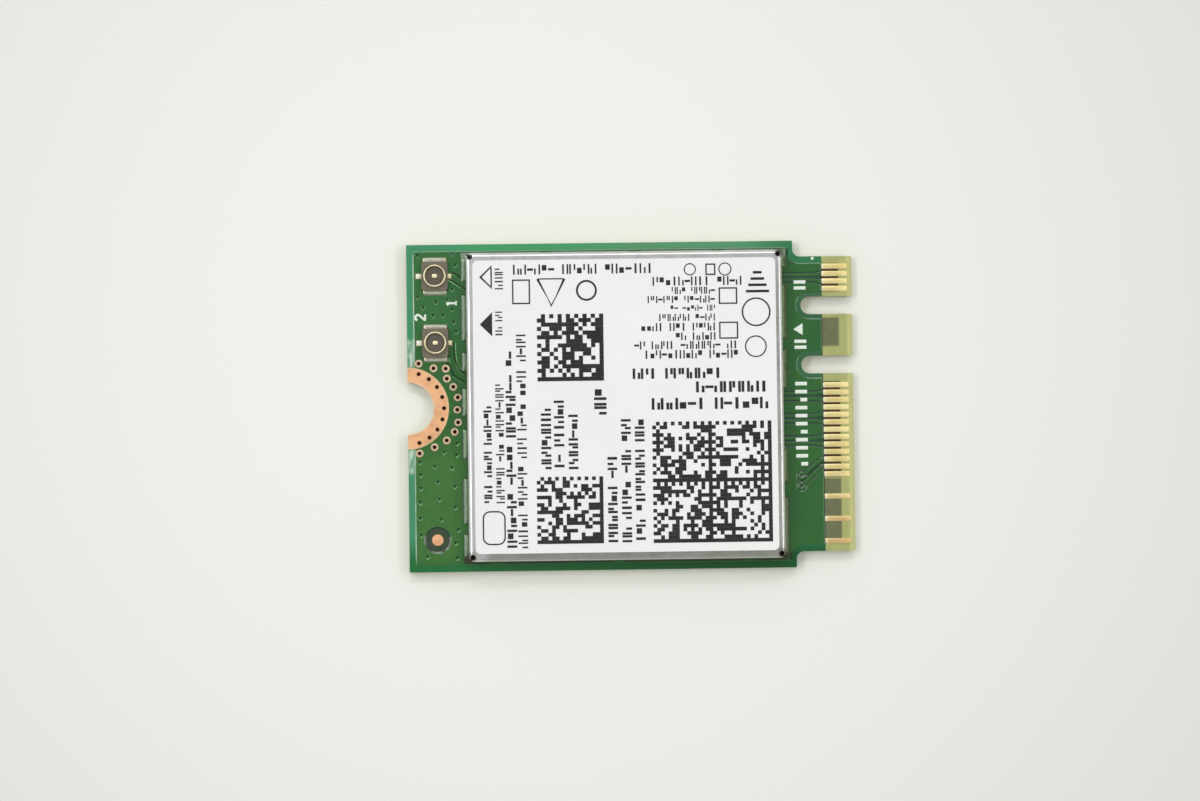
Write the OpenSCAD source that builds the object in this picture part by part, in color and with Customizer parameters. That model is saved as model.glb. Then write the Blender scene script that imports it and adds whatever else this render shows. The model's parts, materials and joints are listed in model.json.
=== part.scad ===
// Laptop radio card for a keyed edge-connector slot: a thin circuit board with a stepped tongue of
// gold contacts, a half-round screw notch, two push-on antenna ports and a folded sheet shield.
// Millimetres. X runs along the board toward the contacts, Y across it, and Z up from the face that
// the card lies on. The origin is the middle of the board's underside.

/* [Board] */
// Length of the board, from the screw end to the contact edge
board_l = 30; // [29:0.5:42]
// Width of the board
board_w = 22; // [22:0.5:30]
// Thickness of the bare laminate
laminate_t = 0.72; // [0.5:0.02:1.5]
// Thickness of the bare copper and its plating
foil_t = 0.04; // [0.02:0.005:0.05]
// Thickness of the copper pour and the lacquer over it
mask_t = 0.05; // [0.05:0.005:0.08]
// Thickness of the lacquer where no copper lies under it
mask_bare_t = 0.03; // [0.015:0.005:0.04]
// Gap between the lacquer and the bare metal in its openings
mask_gap = 0.04; // [0.02:0.01:0.06]
// Distance from the board's edge to the edge of the copper pour
pour_gap = 0.5; // [0.3:0.05:0.6]
// Distance from a key notch to the edge of the copper pour
pour_gap_key = 0.35; // [0.2:0.05:0.4]

/* [Tongue and keys] */
// Width of the tongue that enters the slot
tongue_w = 19.85; // [19.5:0.05:20]
// Length of the tongue
tongue_l = 4; // [3.9:0.05:4.3]
// Radius in the two inner corners of the step
step_r = 0.5; // [0.3:0.05:0.55]
// Depth of the bevel along the tongue's front edge
tongue_bevel = 0.22; // [0.1:0.01:0.25]
// Width of a key notch
key_w = 1.2; // [1:0.05:1.3]
// Length of a key notch, from the tongue's front edge
key_l = 3.5; // [3:0.05:3.6]
// Distance between neighbouring contacts on one face
contact_pitch = 0.5; // [0.46:0.01:0.52]
// Width of a contact
contact_w = 0.35; // [0.25:0.01:0.4]
// Length of a contact
contact_l = 1.72; // [1.2:0.01:1.8]
// Distance from the front edge to the contacts
contact_inset = 0.33; // [0.28:0.01:0.5]

/* [Screw notch] */
// Radius of the half-round notch
notch_r = 1.75; // [1.6:0.05:2]
// Width of the bare copper half ring round the notch
ring_w = 1; // [0.9:0.05:1.1]
// Radius of the plated holes
via_r = 0.1; // [0.08:0.005:0.12]
// Wall of the plating in a hole
via_wall = 0.03; // [0.02:0.005:0.04]
// Outer radius of the bare rim round a stitching hole
via_rim_r = 0.25; // [0.2:0.01:0.27]
// Number of plated holes in the half ring
ring_via_count = 9; // [5:1:11]
// Angle between two plated holes in the half ring
ring_via_step = 18; // [12:1:20]
// Distance from the notch to the plated holes in the half ring
ring_via_inset = 0.68; // [0.4:0.02:0.7]

/* [Antenna ports] */
// Distance from the screw end to the middle of the ports
port_inset_x = 1.9; // [1.6:0.05:2]
// Distance from the upper long edge to the middle of the first port
port_inset_y = 2.12; // [1.9:0.02:2.3]
// Distance between the two ports
port_pitch = 4.5; // [4.2:0.1:4.6]
// Length of the port's plastic base, along the board
port_base_l = 1.75; // [1.7:0.01:1.8]
// Width of the port's plastic base, across the board
port_base_w = 1.95; // [1.8:0.01:2]
// Height of the port's plastic base over its foot plate
port_base_h = 0.25; // [0.15:0.01:0.3]
// Outer radius of the ground ring
port_ring_r = 0.75; // [0.7:0.01:0.8]
// Wall of the ground ring
port_ring_wall = 0.11; // [0.09:0.01:0.14]
// Height of the ground ring over the board
port_h = 0.6; // [0.55:0.01:0.7]
// Thickness of the foot plate and of the signal strip
port_foot_t = 0.1; // [0.06:0.01:0.12]
// Reach of the foot plate across the board, from tip to tip
port_foot_w = 2.38; // [2.3:0.02:2.7]
// Width of the centre contact
port_pin_w = 0.3; // [0.24:0.01:0.34]

/* [Shield] */
// Distance from the screw end to the shield
shield_inset_x = 4; // [3.9:0.02:4.2]
// Length of the lid
shield_l = 21.2; // [19.6:0.1:21.4]
// Width of the lid
shield_w = 20.65; // [19.4:0.05:20.8]
// Height of the lid's top over the board
shield_h = 1.35; // [1.3:0.01:1.6]
// Thickness of the lid's sheet
lid_t = 0.12; // [0.08:0.01:0.14]
// Inner radius of the lid's folds
lid_fold_r = 0.15; // [0.1:0.01:0.2]
// Clearance between the lid's walls and the frame's
lid_gap = 0.04; // [0.02:0.005:0.06]
// Height that the lid's walls stop short of the board
lid_lift = 0.25; // [0.15:0.01:0.35]
// Thickness of the frame's sheet
frame_t = 0.15; // [0.1:0.01:0.18]
// Inner radius of the frame's folds
frame_fold_r = 0.1; // [0.05:0.01:0.15]
// Width of the frame's inward flange, from its fold
flange_w = 0.7; // [0.4:0.05:1.2]
// Width of the frame's cross bars
bar_w = 1.1; // [0.6:0.1:2]
// Diameter of the lifting pad where the cross bars meet
pad_d = 4.6; // [3:0.1:6]
// Radius of the relief hole where two folds meet
relief_r = 0.19; // [0.12:0.01:0.22]
// Distance between the snap dimples along a wall
dimple_pitch = 6.2; // [4:0.1:7]
// Radius of a snap dimple's ball form
dimple_r = 0.3; // [0.24:0.01:0.34]
// Depth that a dimple stands inward from the lid's wall
dimple_depth = 0.12; // [0.1:0.01:0.16]
// Distance from the lid's top down to the dimples
dimple_drop = 0.62; // [0.58:0.01:0.7]
// Height of the arches in the frame's foot, where traces pass
arch_h = 0.25; // [0.15:0.01:0.3]
// Reach of the solder lands past the lid, at the two ends
land_out_x = 0.34; // [0.15:0.01:0.36]
// Reach of the solder lands past the lid, along the two sides
land_out_y = 0.12; // [0.05:0.01:0.14]
// Reach of the solder lands inward past the frame
land_in = 0.25; // [0.1:0.01:0.4]

/* [Label] */
// Distance from the lid's ends to the label
label_gap_x = 0.46; // [0.4:0.02:0.8]
// Distance from the lid's sides to the label
label_gap_y = 0.52; // [0.4:0.02:0.8]
// Radius of the label's corners
label_r = 0.35; // [0.2:0.05:0.6]
// Thickness of the label
label_t = 0.08; // [0.05:0.01:0.1]
// Thickness of the print
ink_t = 0.015; // [0.01:0.005:0.03]

/* [Parts under the shield] */
// Distance between neighbouring parts, and from the frame to the first of them
part_gap = 0.6; // [0.4:0.05:0.65]
// Thickness of a chip's solder lands
solder_t = 0.05; // [0.03:0.01:0.08]
// Side of the radio chip
radio_side = 7; // [5:0.1:7.4]
// Thickness of the radio chip
radio_h = 0.75; // [0.5:0.05:0.8]
// Pitch of the radio chip's lands
radio_land_pitch = 0.5; // [0.4:0.05:0.5]
// Side of an amplifier
amplifier_side = 2.8; // [2:0.1:3]
// Thickness of an amplifier
amplifier_h = 0.6; // [0.4:0.05:0.8]
// Length of a band filter, across the board
filter_l = 2; // [1.6:0.1:2.4]
// Width of a band filter
filter_w = 1.25; // [0.8:0.05:1.3]
// Height of a band filter
filter_h = 0.6; // [0.4:0.05:0.8]
// Length of the crystal
crystal_l = 2.5; // [1.6:0.1:2.8]
// Width of the crystal
crystal_w = 2; // [1.2:0.1:2.2]
// Height of the crystal's ceramic tray
crystal_h = 0.4; // [0.3:0.05:0.5]
// Thickness of the crystal's metal cap
crystal_cap_t = 0.12; // [0.08:0.01:0.2]
// Side of the supply converter
power_side = 2.5; // [2:0.1:2.8]
// Thickness of the supply converter
power_h = 0.6; // [0.4:0.05:0.8]
// Length of a coil
coil_l = 2; // [1.6:0.1:2.2]
// Width of a coil
coil_w = 1.25; // [0.8:0.05:1.4]
// Height of a coil
coil_h = 0.85; // [0.5:0.05:0.9]
// Length of the memory chip, across the board
memory_l = 3; // [2:0.1:3.2]
// Width of the memory chip
memory_w = 2; // [1.4:0.1:2.2]
// Thickness of the memory chip
memory_h = 0.55; // [0.4:0.05:0.8]
// Length of a small capacitor or resistor
small_l = 0.6; // [0.5:0.02:0.7]
// Width and height of a small capacitor or resistor
small_w = 0.3; // [0.25:0.01:0.36]
// Height of a small resistor
resistor_h = 0.22; // [0.18:0.01:0.3]
// Small capacitors along each side of the radio chip
bypass_per_side = 6; // [3:1:7]
// Distance between the small parts in a row
small_pitch = 0.9; // [0.7:0.05:1]
// Number of small resistors
resistor_count = 4; // [2:1:5]
// Length of a supply capacitor
supply_l = 1; // [0.8:0.05:1.1]
// Width and height of a supply capacitor
supply_w = 0.5; // [0.4:0.02:0.6]
// Number of supply capacitors
supply_count = 3; // [2:1:4]
// Radius of a test pad on the underside
test_pad_r = 0.4; // [0.25:0.05:0.5]
// Distance between the test pads
test_pad_pitch = 1.6; // [1.4:0.1:2]

/* [Hidden] */
$fn = 48;

// Overlap that makes a cut pass right through a face
cut = 0.5;

// Heights: underside of the laminate, its top, and the top of the lacquer
under_z = mask_t;
top_z = mask_t + laminate_t;
deck_z = top_z + mask_t;

// Ends of the board, root of the tongue, and inner end of the contacts
left_x = -board_l / 2;
right_x = board_l / 2;
step_x = right_x - tongue_l;
contact_x = right_x - contact_inset - contact_l;
// Edge of the pour beside the contacts
pour_end_gap = 0.1;

// Contacts that the card carries, by contact number; odd numbers lie on the upper face
top_pins = [1, 3, 5, 7, 33, 35, 37, 39, 41, 43, 45, 47, 49, 51, 53, 55, 57, 63, 69, 75];
bottom_pins = [2, 4, 6, 16, 18, 20, 22, for (pin = [32:2:74]) pin];
// Contact numbers at the middle of the row, and at the two key notches
middle_pin = 38;
key_pins = [11.5, 27.5];
function pin_y(pin) = (middle_pin - pin) * contact_pitch / 2;

// Plated holes outside the half ring: angle at the notch and distance from the half ring
stitch_vias = [
    [76, 0.36], [57, 0.46], [46, 0.95], [37, 0.55], [25, 0.63], [12, 0.68],
    [-2, 0.57], [-16, 0.75], [-27, 0.76], [-40, 0.62], [-56, 0.40], [-76, 0.36]
];
ring_r = notch_r + ring_w;
function ring_via_angle(i) = (i - (ring_via_count - 1) / 2) * ring_via_step;

// Capped plated holes that show as dimples: x from the screw end, y from the board's middle
dimples = [
    [0.75, 10.28], [3.1, 10.37], [3.3, 9.6], [3.05, 7.95], [0.75, 7.45], [1.1, 6.75], [1.95, 7.1],
    [2.7, 7.25], [3.05, 6.6], [1.75, 6.2], [2.4, 6.2], [3.15, 5.75], [3.3, 5.1],
    [3.3, -2.4], [2.4, -3], [3.25, -3.2], [0.75, -3.65], [1.75, -3.95], [2.9, -4.05], [0.8, -4.5],
    [1.95, -5], [3.1, -5.3], [0.8, -5.4], [2.05, -6.15], [0.75, -6.35], [3.1, -6.7], [0.75, -7.4],
    [2.15, -7.5], [3.3, -8.2], [0.8, -8.55], [3.1, -9.1], [1.2, -10], [3.2, -10.1]
];
dimple_hole_r = 0.1;
dimple_hole_depth = 0.02;

// Fiducial dot in line with the ports, near the other corner, and its opening in the lacquer
fiducial = [left_x + port_inset_x, -board_w / 2 + 2.15];
fiducial_r = 0.38;
fiducial_opening_r = 0.79;

// Antenna ports and their pads
port_at = [
    [left_x + port_inset_x, board_w / 2 - port_inset_y],
    [left_x + port_inset_x, board_w / 2 - port_inset_y - port_pitch]
];
port_foot_inset = 0.1;
port_foot_l = port_base_l - 2 * port_foot_inset;
port_tab_w = 0.4;
port_tab_side = 0.02;
port_land_under = 0.1;
port_tab_reach = 0.42;
port_signal_reach = 0.24;
port_slot_w = port_pin_w + 0.26;
port_pin_l = port_pin_w + 0.1;
port_pin_h = port_h - 0.1;
port_land_margin = 0.06;
port_ring_seat = 0.02;
port_ring_bevel = 0.03;

// Folded shield: place of its middle, size of the frame, and the heights of its top
shield_x = left_x + shield_inset_x + shield_l / 2;
lid_top_z = deck_z + shield_h;
frame_top_z = lid_top_z - lid_t;
frame_l = shield_l - 2 * (lid_t + lid_gap);
frame_w = shield_w - 2 * (lid_t + lid_gap);
frame_h = frame_top_z - deck_z;
frame_hole_r = dimple_r;
dimple_at = [-dimple_pitch, 0, dimple_pitch];
corner_gap = 0.06;
// Breaks in the foot and its lands where traces pass: middle and length along each wall
left_breaks = [[8.05, 0.9], [4.1, 0.8], [1.9, 1.2], [-1, 0.9], [-4.1, 1.3], [-8.15, 0.7]];
right_breaks = [[8.65, 1.2], [4.05, 0.8], [-0.95, 4.1], [-5.75, 1.1]];
upper_breaks = [[-5.2, 0.8], [0.8, 0.8], [6.4, 0.8]];
lower_breaks = [[-8.8, 1], [-0.6, 0.8], [8.2, 0.6]];

// Length of the cut that makes a break, across the wall
break_depth = 2;

// Traces: width, gap to the pour, close spacing of a pair, where a pair opens out before the contacts,
// and how far a trace runs in under the shield's wall
trace_w = 0.16;
trace_gap = 0.15;
pair_pitch = 0.34;
feed_w = 0.3;
feed_gap = 0.2;
fan_start = 0.5;
fan_end = 0.2;
under_wall = 0.3;
pair_pins = [[3, 5], [35, 37], [41, 43], [47, 49]];
// Traces that end in a capped hole: contact number, and the hole's place left of and below it
single_traces = [[53, [-1.55, -1.1]], [55, [-1.55, -1.3]]];
trace_via_r = 0.22;

// Lands of the chips: their size, their number on a small chip's side, and the room round them
land_l = 0.35;
land_w = 0.24;
land_side_gap = 0.5;
small_lands = 4;
amplifier_land_pitch = 0.45;
power_land_pitch = 0.4;
memory_land_pitch = 0.5;
radio_pad_gap = 1.3;
small_pad_gap = 0.65;

// Room inside the frame, and the parts that are laid out from its walls
room_left = shield_x - frame_l / 2 + frame_t;
room_right = shield_x + frame_l / 2 - frame_t;
filter_x = room_left + part_gap + filter_w / 2;
amplifier_x = filter_x + filter_w / 2 + part_gap + amplifier_side / 2;
amplifier_y = [6, 0.6];
bypass_gap = 0.4;
row_gap = 0.3;
bypass_reach = bypass_gap + small_l;
radio_x = amplifier_x + amplifier_side / 2 + part_gap + bypass_reach + radio_side / 2;
radio_y = -2.6;
radio_lands_per_side = floor((radio_side - 2 * land_side_gap) / radio_land_pitch);
crystal_x = radio_x - radio_side / 4;
crystal_y = radio_y + radio_side / 2 + bypass_reach + part_gap + crystal_w / 2;
power_x = room_right - part_gap - power_side / 2;
power_y = 7;
coil_x = power_x - power_side / 2 - part_gap - coil_l / 2;
coil_y = [power_y + (coil_w + part_gap) / 2, power_y - (coil_w + part_gap) / 2];
memory_x = room_right - part_gap - memory_w / 2;
memory_y = -6.6;
supply_x = room_right - part_gap - supply_l / 2;
supply_y = power_y - power_side / 2 - part_gap - supply_w / 2;
resistor_x = memory_x;
resistor_y = memory_y + memory_l / 2 + part_gap + small_w / 2;
end_l = 0.25;
small_end_l = 0.15;
test_row_y = 5.2;

// Label, and the measures of its plain print, taken from the label's lower left corner. The print fits a
// label of print_l by print_w, and is scaled with it
label_x = shield_x - shield_l / 2 + label_gap_x;
label_y = -shield_w / 2 + label_gap_y;
label_l = shield_l - 2 * label_gap_x;
label_w = shield_w - 2 * label_gap_y;
print_l = 20.28;
print_w = 19.61;
print_scale = min(label_l / print_l, label_w / print_w);
// Upright rows: x and y of the lower end, length, height of the row
upright_rows = [
    [0.6, 3.4, 6.5, 0.5], [1.45, 3.4, 8, 0.5], [2.15, 0.4, 13.1, 0.6], [2.9, 0.4, 14.3, 0.5],
    [4.5, 5.6, 4.1, 0.6], [5.35, 5.6, 4.6, 0.6], [6.3, 5.6, 3.7, 0.6], [8.05, 9.2, 1.8, 0.8],
    [8.9, 0.7, 5.9, 0.55], [9.8, 0.7, 8.2, 0.55], [10.75, 0.7, 8.2, 0.55], [1.5, 17.7, 1.4, 0.45],
    [1.5, 14.5, 1.7, 0.45]
];
// Level rows: x of the right end, y of the lower edge, length, height of the row
level_rows = [
    [12.1, 18.65, 9.4, 0.6], [18, 17.8, 6, 0.55], [16.2, 17.25, 2.9, 0.4], [16.2, 16.65, 4.5, 0.4],
    [16.2, 16.1, 3, 0.4], [16.2, 15.45, 3.8, 0.4], [16.2, 14.8, 5, 0.45], [16.2, 14.15, 2.7, 0.45],
    [17.7, 13.55, 7, 0.5], [17.7, 12.9, 6.4, 0.5], [16.6, 11.6, 6, 0.65], [19.7, 10.6, 4.9, 0.7],
    [19.7, 9.5, 7.8, 0.7]
];
// Code patches: x and y of the lower left corner, side, width of the two solid edges
code_patches = [[4.3, 11.5, 4.45, 0.28], [4.15, 0.65, 4.45, 0.25], [11.9, 0.6, 8.05, 0.25]];
// Port triangles: y of the middle, and whether it is filled
port_triangles = [[18.55, false], [15.4, true]];
// Plain round signs: x, y, radius
ring_signs = [[1.3, 1.75, 0.95], [14.6, 18.9, 0.42], [19, 16, 0.95], [18.9, 13.7, 0.72]];
// Plain box signs: x and y of the middle, side
box_signs = [[17.1, 17.1, 1.15], [17.1, 14.8, 1.15], [7.7, 17.5, 1.4], [3.3, 17.5, 1.3]];
sign_line = 0.1;
triangle_at = 0.5;

// Outlines of the board

// The stepped outline with its notch and keys, drawn in from the long and short edges by inset
module board_outline(inset = 0, key_inset = 0) {
    fillet_r = step_r + inset;
    difference() {
        union() {
            translate([left_x + inset, -board_w / 2 + inset])
                square([board_l - tongue_l - 2 * inset, board_w - 2 * inset]);
            translate([step_x - inset - cut, -tongue_w / 2 + inset])
                square([tongue_l + inset + cut, tongue_w - 2 * inset]);
            for (s = [-1, 1])
                translate([step_x - inset, s * (tongue_w / 2 - inset)])
                    scale([1, s])
                        difference() {
                            translate([-cut, -cut])
                                square(fillet_r + cut);
                            translate([fillet_r, fillet_r])
                                circle(r = fillet_r);
                        }
        }
        translate([left_x, 0])
            circle(r = notch_r);
        key_notches(key_inset);
    }
}

module key_notches(grow) {
    for (pin = key_pins)
        translate([right_x - key_l + key_w / 2, pin_y(pin)]) {
            circle(r = key_w / 2 + grow);
            translate([0, -key_w / 2 - grow])
                square([key_l + cut, key_w + 2 * grow]);
        }
}

// Everything left of the contacts, from the given distance before them
module behind_contacts(gap) {
    translate([left_x - cut, -board_w])
        square([contact_x - gap - left_x + cut, 2 * board_w]);
}

module at_ring_vias() {
    for (i = [0:ring_via_count - 1])
        translate([left_x, 0])
            rotate(ring_via_angle(i))
                translate([notch_r + ring_via_inset, 0])
                    children();
}

module at_stitch_vias() {
    for (v = stitch_vias)
        translate([left_x, 0])
            rotate(v[0])
                translate([ring_r + v[1], 0])
                    children();
}

// Traces in the copper

function along(a, b) = (b - a) / norm(b - a);
function left_of(v) = [-v[1], v[0]];
// Corner i of a path, moved to its left by d, with a mitred joint
function mitre(path, i, d) =
    let (
        last = len(path) - 1,
        before = i > 0 ? along(path[i - 1], path[i]) : along(path[0], path[1]),
        after = i < last ? along(path[i], path[i + 1]) : before,
        n = left_of(before) + left_of(after)
    )
    path[i] + 2 * d / (n * n) * n;

module strip(path, w) {
    last = len(path) - 1;
    polygon(concat(
        [for (i = [0:last]) mitre(path, i, w / 2)],
        [for (i = [last:-1:0]) mitre(path, i, -w / 2)]
    ));
}

// Antenna feeds, from each port's signal pad to the shield
function feed_start(port) = port_at[port] + [port_base_l / 2 + port_signal_reach / 2, 0];
function feed_path(port) =
    let (wall = shield_x - shield_l / 2 + under_wall, start = feed_start(port))
    port == 0
        ? [start, start + [0.25, -0.1], [wall, left_breaks[0][0]]]
        : [start, start + [0.1, -1.3], start + [0.4, -2.05], [wall, left_breaks[2][0] - 0.2]];

// A pair's two traces run close together and open out to the contacts
function pair_path(pins, side) =
    let (
        middle = (pin_y(pins[0]) + pin_y(pins[1])) / 2,
        wall = shield_x + shield_l / 2 - under_wall
    )
    [
        [wall, middle + side * pair_pitch / 2],
        [contact_x - fan_start, middle + side * pair_pitch / 2],
        [contact_x - fan_end, middle + side * contact_pitch / 2],
        [contact_x + cut, middle + side * contact_pitch / 2]
    ];

function single_end(t) = [contact_x, pin_y(t[0])] + t[1];
function single_path(t) = [
    single_end(t), [contact_x - fan_end, pin_y(t[0])], [contact_x + cut, pin_y(t[0])]
];

module feeds(grow) {
    for (port = [0, 1])
        strip(feed_path(port), feed_w + 2 * grow);
}

module pair_traces(grow) {
    for (pins = pair_pins)
        for (side = [-1, 1])
            strip(pair_path(pins, side), trace_w + 2 * grow);
}

module single_trace_lines(grow) {
    for (t = single_traces) {
        strip(single_path(t), trace_w + 2 * grow);
        translate(single_end(t))
            circle(r = trace_via_r + grow);
    }
}

// The copper pour under the lacquer, with a gap beside each trace
module pour_area() {
    intersection() {
        board_outline(pour_gap, pour_gap_key);
        behind_contacts(pour_end_gap);
    }
}

module trace_gaps() {
    difference() {
        feeds(feed_gap);
        feeds(0);
    }
    difference() {
        union() {
            pair_traces(trace_gap);
            single_trace_lines(trace_gap);
        }
        pair_traces(0);
        single_trace_lines(0);
    }
}

// The board and its coatings

module circuit_board() {
    color([0.78, 0.78, 0.5])
        difference() {
            translate([0, 0, under_z])
                linear_extrude(laminate_t)
                    board_outline();
            for (face = [0, 1])
                translate([right_x, 0, under_z + face * laminate_t])
                    rotate([90, 45, 0])
                        cube([tongue_bevel * sqrt(2), tongue_bevel * sqrt(2), 2 * board_w], center = true);
            translate([0, 0, -cut])
                linear_extrude(deck_z + 2 * cut) {
                    at_ring_vias()
                        circle(r = via_r + via_wall);
                    at_stitch_vias()
                        circle(r = via_r + via_wall);
                }
        }
}

// Lacquer sheet on one face: full height over the pour, thinner where the pour stops.
// It is drawn with its laminate side at z = 0
module lacquer(with_traces) {
    difference() {
        linear_extrude(mask_t)
            difference() {
                intersection() {
                    board_outline();
                    behind_contacts(0);
                }
                translate([left_x, 0])
                    circle(r = ring_r + mask_gap);
                at_stitch_vias()
                    circle(r = via_rim_r + mask_gap);
                children();
            }
        translate([0, 0, mask_bare_t])
            linear_extrude(mask_t) {
                difference() {
                    translate([left_x - cut, -board_w])
                        square([board_l + 2 * cut, 2 * board_w]);
                    pour_area();
                }
                if (with_traces)
                    trace_gaps();
            }
    }
}

module solder_mask_top() {
    color([0.25, 0.45, 0.22])
        difference() {
            translate([0, 0, top_z])
                lacquer(true) {
                    translate(fiducial)
                        circle(r = fiducial_opening_r);
                    port_land_areas(mask_gap);
                    shield_land_area(mask_gap);
                }
            for (d = dimples)
                translate([left_x + d[0], d[1], deck_z - dimple_hole_depth])
                    cylinder(r = dimple_hole_r, h = cut);
            for (t = single_traces)
                translate(concat(single_end(t), deck_z - dimple_hole_depth))
                    cylinder(r = dimple_hole_r, h = cut);
        }
}

module solder_mask_bottom() {
    color([0.2, 0.42, 0.22])
        translate([0, 0, under_z])
            mirror([0, 0, 1])
                lacquer(false)
                    test_pad_areas(mask_gap);
}

module contact_row(pins) {
    for (pin = pins)
        translate([contact_x, pin_y(pin) - contact_w / 2, 0])
            cube([contact_l, contact_w, foil_t]);
}

module top_edge_contacts() {
    color([0.93, 0.8, 0.5])
        translate([0, 0, top_z])
            contact_row(top_pins);
}

module bottom_edge_contacts() {
    color([0.93, 0.8, 0.5])
        translate([0, 0, under_z - foil_t])
            contact_row(bottom_pins);
}

// Bare copper half ring, cut off flush with the screw end
module screw_ring() {
    linear_extrude(foil_t)
        difference() {
            intersection() {
                translate([left_x, 0])
                    circle(r = ring_r);
                translate([left_x, -board_w / 2])
                    square([board_l, board_w]);
            }
            translate([left_x, 0])
                circle(r = notch_r);
            at_ring_vias()
                circle(r = via_r);
        }
}

module screw_ring_top() {
    color([0.93, 0.7, 0.5])
        translate([0, 0, top_z])
            screw_ring();
}

module screw_ring_bottom() {
    color([0.93, 0.7, 0.5])
        translate([0, 0, under_z - foil_t])
            screw_ring();
}

module ring_via_sleeves() {
    color([0.75, 0.5, 0.35])
        translate([0, 0, under_z])
            at_ring_vias()
                difference() {
                    cylinder(r = via_r + via_wall, h = laminate_t);
                    translate([0, 0, -cut])
                        cylinder(r = via_r, h = laminate_t + 2 * cut);
                }
}

// A plated hole with a bare rim on each face, turned as one section
module stitch_via_sleeves() {
    color([0.88, 0.76, 0.65])
        at_stitch_vias()
            rotate_extrude()
                polygon([
                    [via_r, under_z - foil_t], [via_rim_r, under_z - foil_t], [via_rim_r, under_z],
                    [via_r + via_wall, under_z], [via_r + via_wall, top_z], [via_rim_r, top_z],
                    [via_rim_r, top_z + foil_t], [via_r, top_z + foil_t]
                ]);
}

module fiducial_dot() {
    color([0.93, 0.7, 0.5])
        translate(concat(fiducial, top_z))
            cylinder(r = fiducial_r, h = foil_t);
}

// Two short rows of test pads on the underside, behind the middle of the shield
module test_pad_areas(grow) {
    for (i = [-2:2])
        for (side = [-1, 1])
            translate([shield_x + i * test_pad_pitch, side * test_row_y])
                circle(r = test_pad_r + grow);
}

module test_pads() {
    color([0.93, 0.8, 0.5])
        translate([0, 0, under_z - foil_t])
            linear_extrude(foil_t)
                test_pad_areas(0);
}

// Solder lands

// Gaps along the four walls of the shield, each as wide as its break
module wall_breaks(depth) {
    for (b = left_breaks)
        translate([shield_x - shield_l / 2, b[0]])
            square([depth, b[1]], center = true);
    for (b = right_breaks)
        translate([shield_x + shield_l / 2, b[0]])
            square([depth, b[1]], center = true);
    for (b = upper_breaks)
        translate([shield_x + b[0], shield_w / 2])
            square([b[1], depth], center = true);
    for (b = lower_breaks)
        translate([shield_x + b[0], -shield_w / 2])
            square([b[1], depth], center = true);
}

module shield_land_area(grow) {
    difference() {
        translate([shield_x, 0])
            difference() {
                square([shield_l + 2 * land_out_x + 2 * grow, shield_w + 2 * land_out_y + 2 * grow],
                    center = true);
                square([frame_l - 2 * frame_t - 2 * land_in - 2 * grow,
                    frame_w - 2 * frame_t - 2 * land_in - 2 * grow], center = true);
            }
        difference() {
            wall_breaks(break_depth);
            if (grow > 0)
                wall_break_rims(grow);
        }
    }
}

// Rims inside the breaks that the lacquer's opening takes in beside each land
module wall_break_rims(grow) {
    for (s = [-1, 1]) {
        for (b = left_breaks)
            translate([shield_x - shield_l / 2, b[0] + s * b[1] / 2])
                square([break_depth, 2 * grow], center = true);
        for (b = right_breaks)
            translate([shield_x + shield_l / 2, b[0] + s * b[1] / 2])
                square([break_depth, 2 * grow], center = true);
        for (b = upper_breaks)
            translate([shield_x + b[0] + s * b[1] / 2, shield_w / 2])
                square([2 * grow, break_depth], center = true);
        for (b = lower_breaks)
            translate([shield_x + b[0] + s * b[1] / 2, -shield_w / 2])
                square([2 * grow, break_depth], center = true);
    }
}

module shield_lands() {
    color([0.8, 0.82, 0.76])
        translate([0, 0, top_z])
            linear_extrude(mask_t)
                shield_land_area(0);
}

// Pads under a port's four feet: two ground tabs, a side tab and the signal tab
module port_land_areas(grow) {
    foot_y = port_foot_w / 2 + port_land_margin;
    inner_y = port_base_w / 2 - port_land_under;
    for (p = port_at)
        translate(p) {
            for (s = [-1, 1])
                translate([0, s * (foot_y + inner_y) / 2])
                    square([port_foot_l + 2 * grow, foot_y - inner_y + 2 * grow], center = true);
            translate([-port_base_l / 2 - port_tab_reach - grow, -port_tab_w / 2 - grow])
                square([port_tab_reach + 2 * grow, port_tab_w + 2 * grow]);
            translate([port_base_l / 2 - grow, -port_tab_w / 2 - grow])
                square([port_signal_reach + 2 * grow, port_tab_w + 2 * grow]);
        }
}

module port_lands() {
    color([0.86, 0.86, 0.76])
        translate([0, 0, top_z])
            linear_extrude(mask_t)
                port_land_areas(0);
}

// White marks

// Bars of a plain figure, drawn upright from its lower left corner
figure_w = 0.5;
figure_h = 0.8;
figure_line = 0.13;
figure_bars = [
    [[0, 0], [1, 0]], [[0, 1], [1, 1]], [[0, 2], [1, 2]], [[0, 0], [0, 1]], [[1, 1], [1, 2]]
];

// The figure two as five bars of a square figure
module figure_two() {
    for (b = figure_bars) {
        a = [b[0][0] * figure_w, b[0][1] * figure_h / 2];
        e = [b[1][0] * figure_w, b[1][1] * figure_h / 2];
        translate([a[0] - figure_line / 2, a[1] - figure_line / 2])
            square([e[0] - a[0] + figure_line, e[1] - a[1] + figure_line]);
    }
}

// The figure one: an upright bar with a short foot
module figure_one() {
    translate([-figure_line / 2, -figure_line / 2])
        square([figure_line, figure_h + figure_line]);
    translate([-0.2, -figure_line / 2])
        square([0.4, figure_line]);
}

// Marks beside the tongue: contact bars, a triangle between the keys, and a row of ticks
mark_t = 0.02;
mark_l = 0.9;
mark_short_l = 0.6;
mark_gap = 0.4;
mark_pitch = 0.62;
mark_count = 9;
mark_dot_r = 0.1;
mark_dot_inset = 0.15;
triangle_l = 0.62;
triangle_w = 0.8;
two_at = [-0.65, -0.65];
one_at = [1.55, 0.42];

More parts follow.
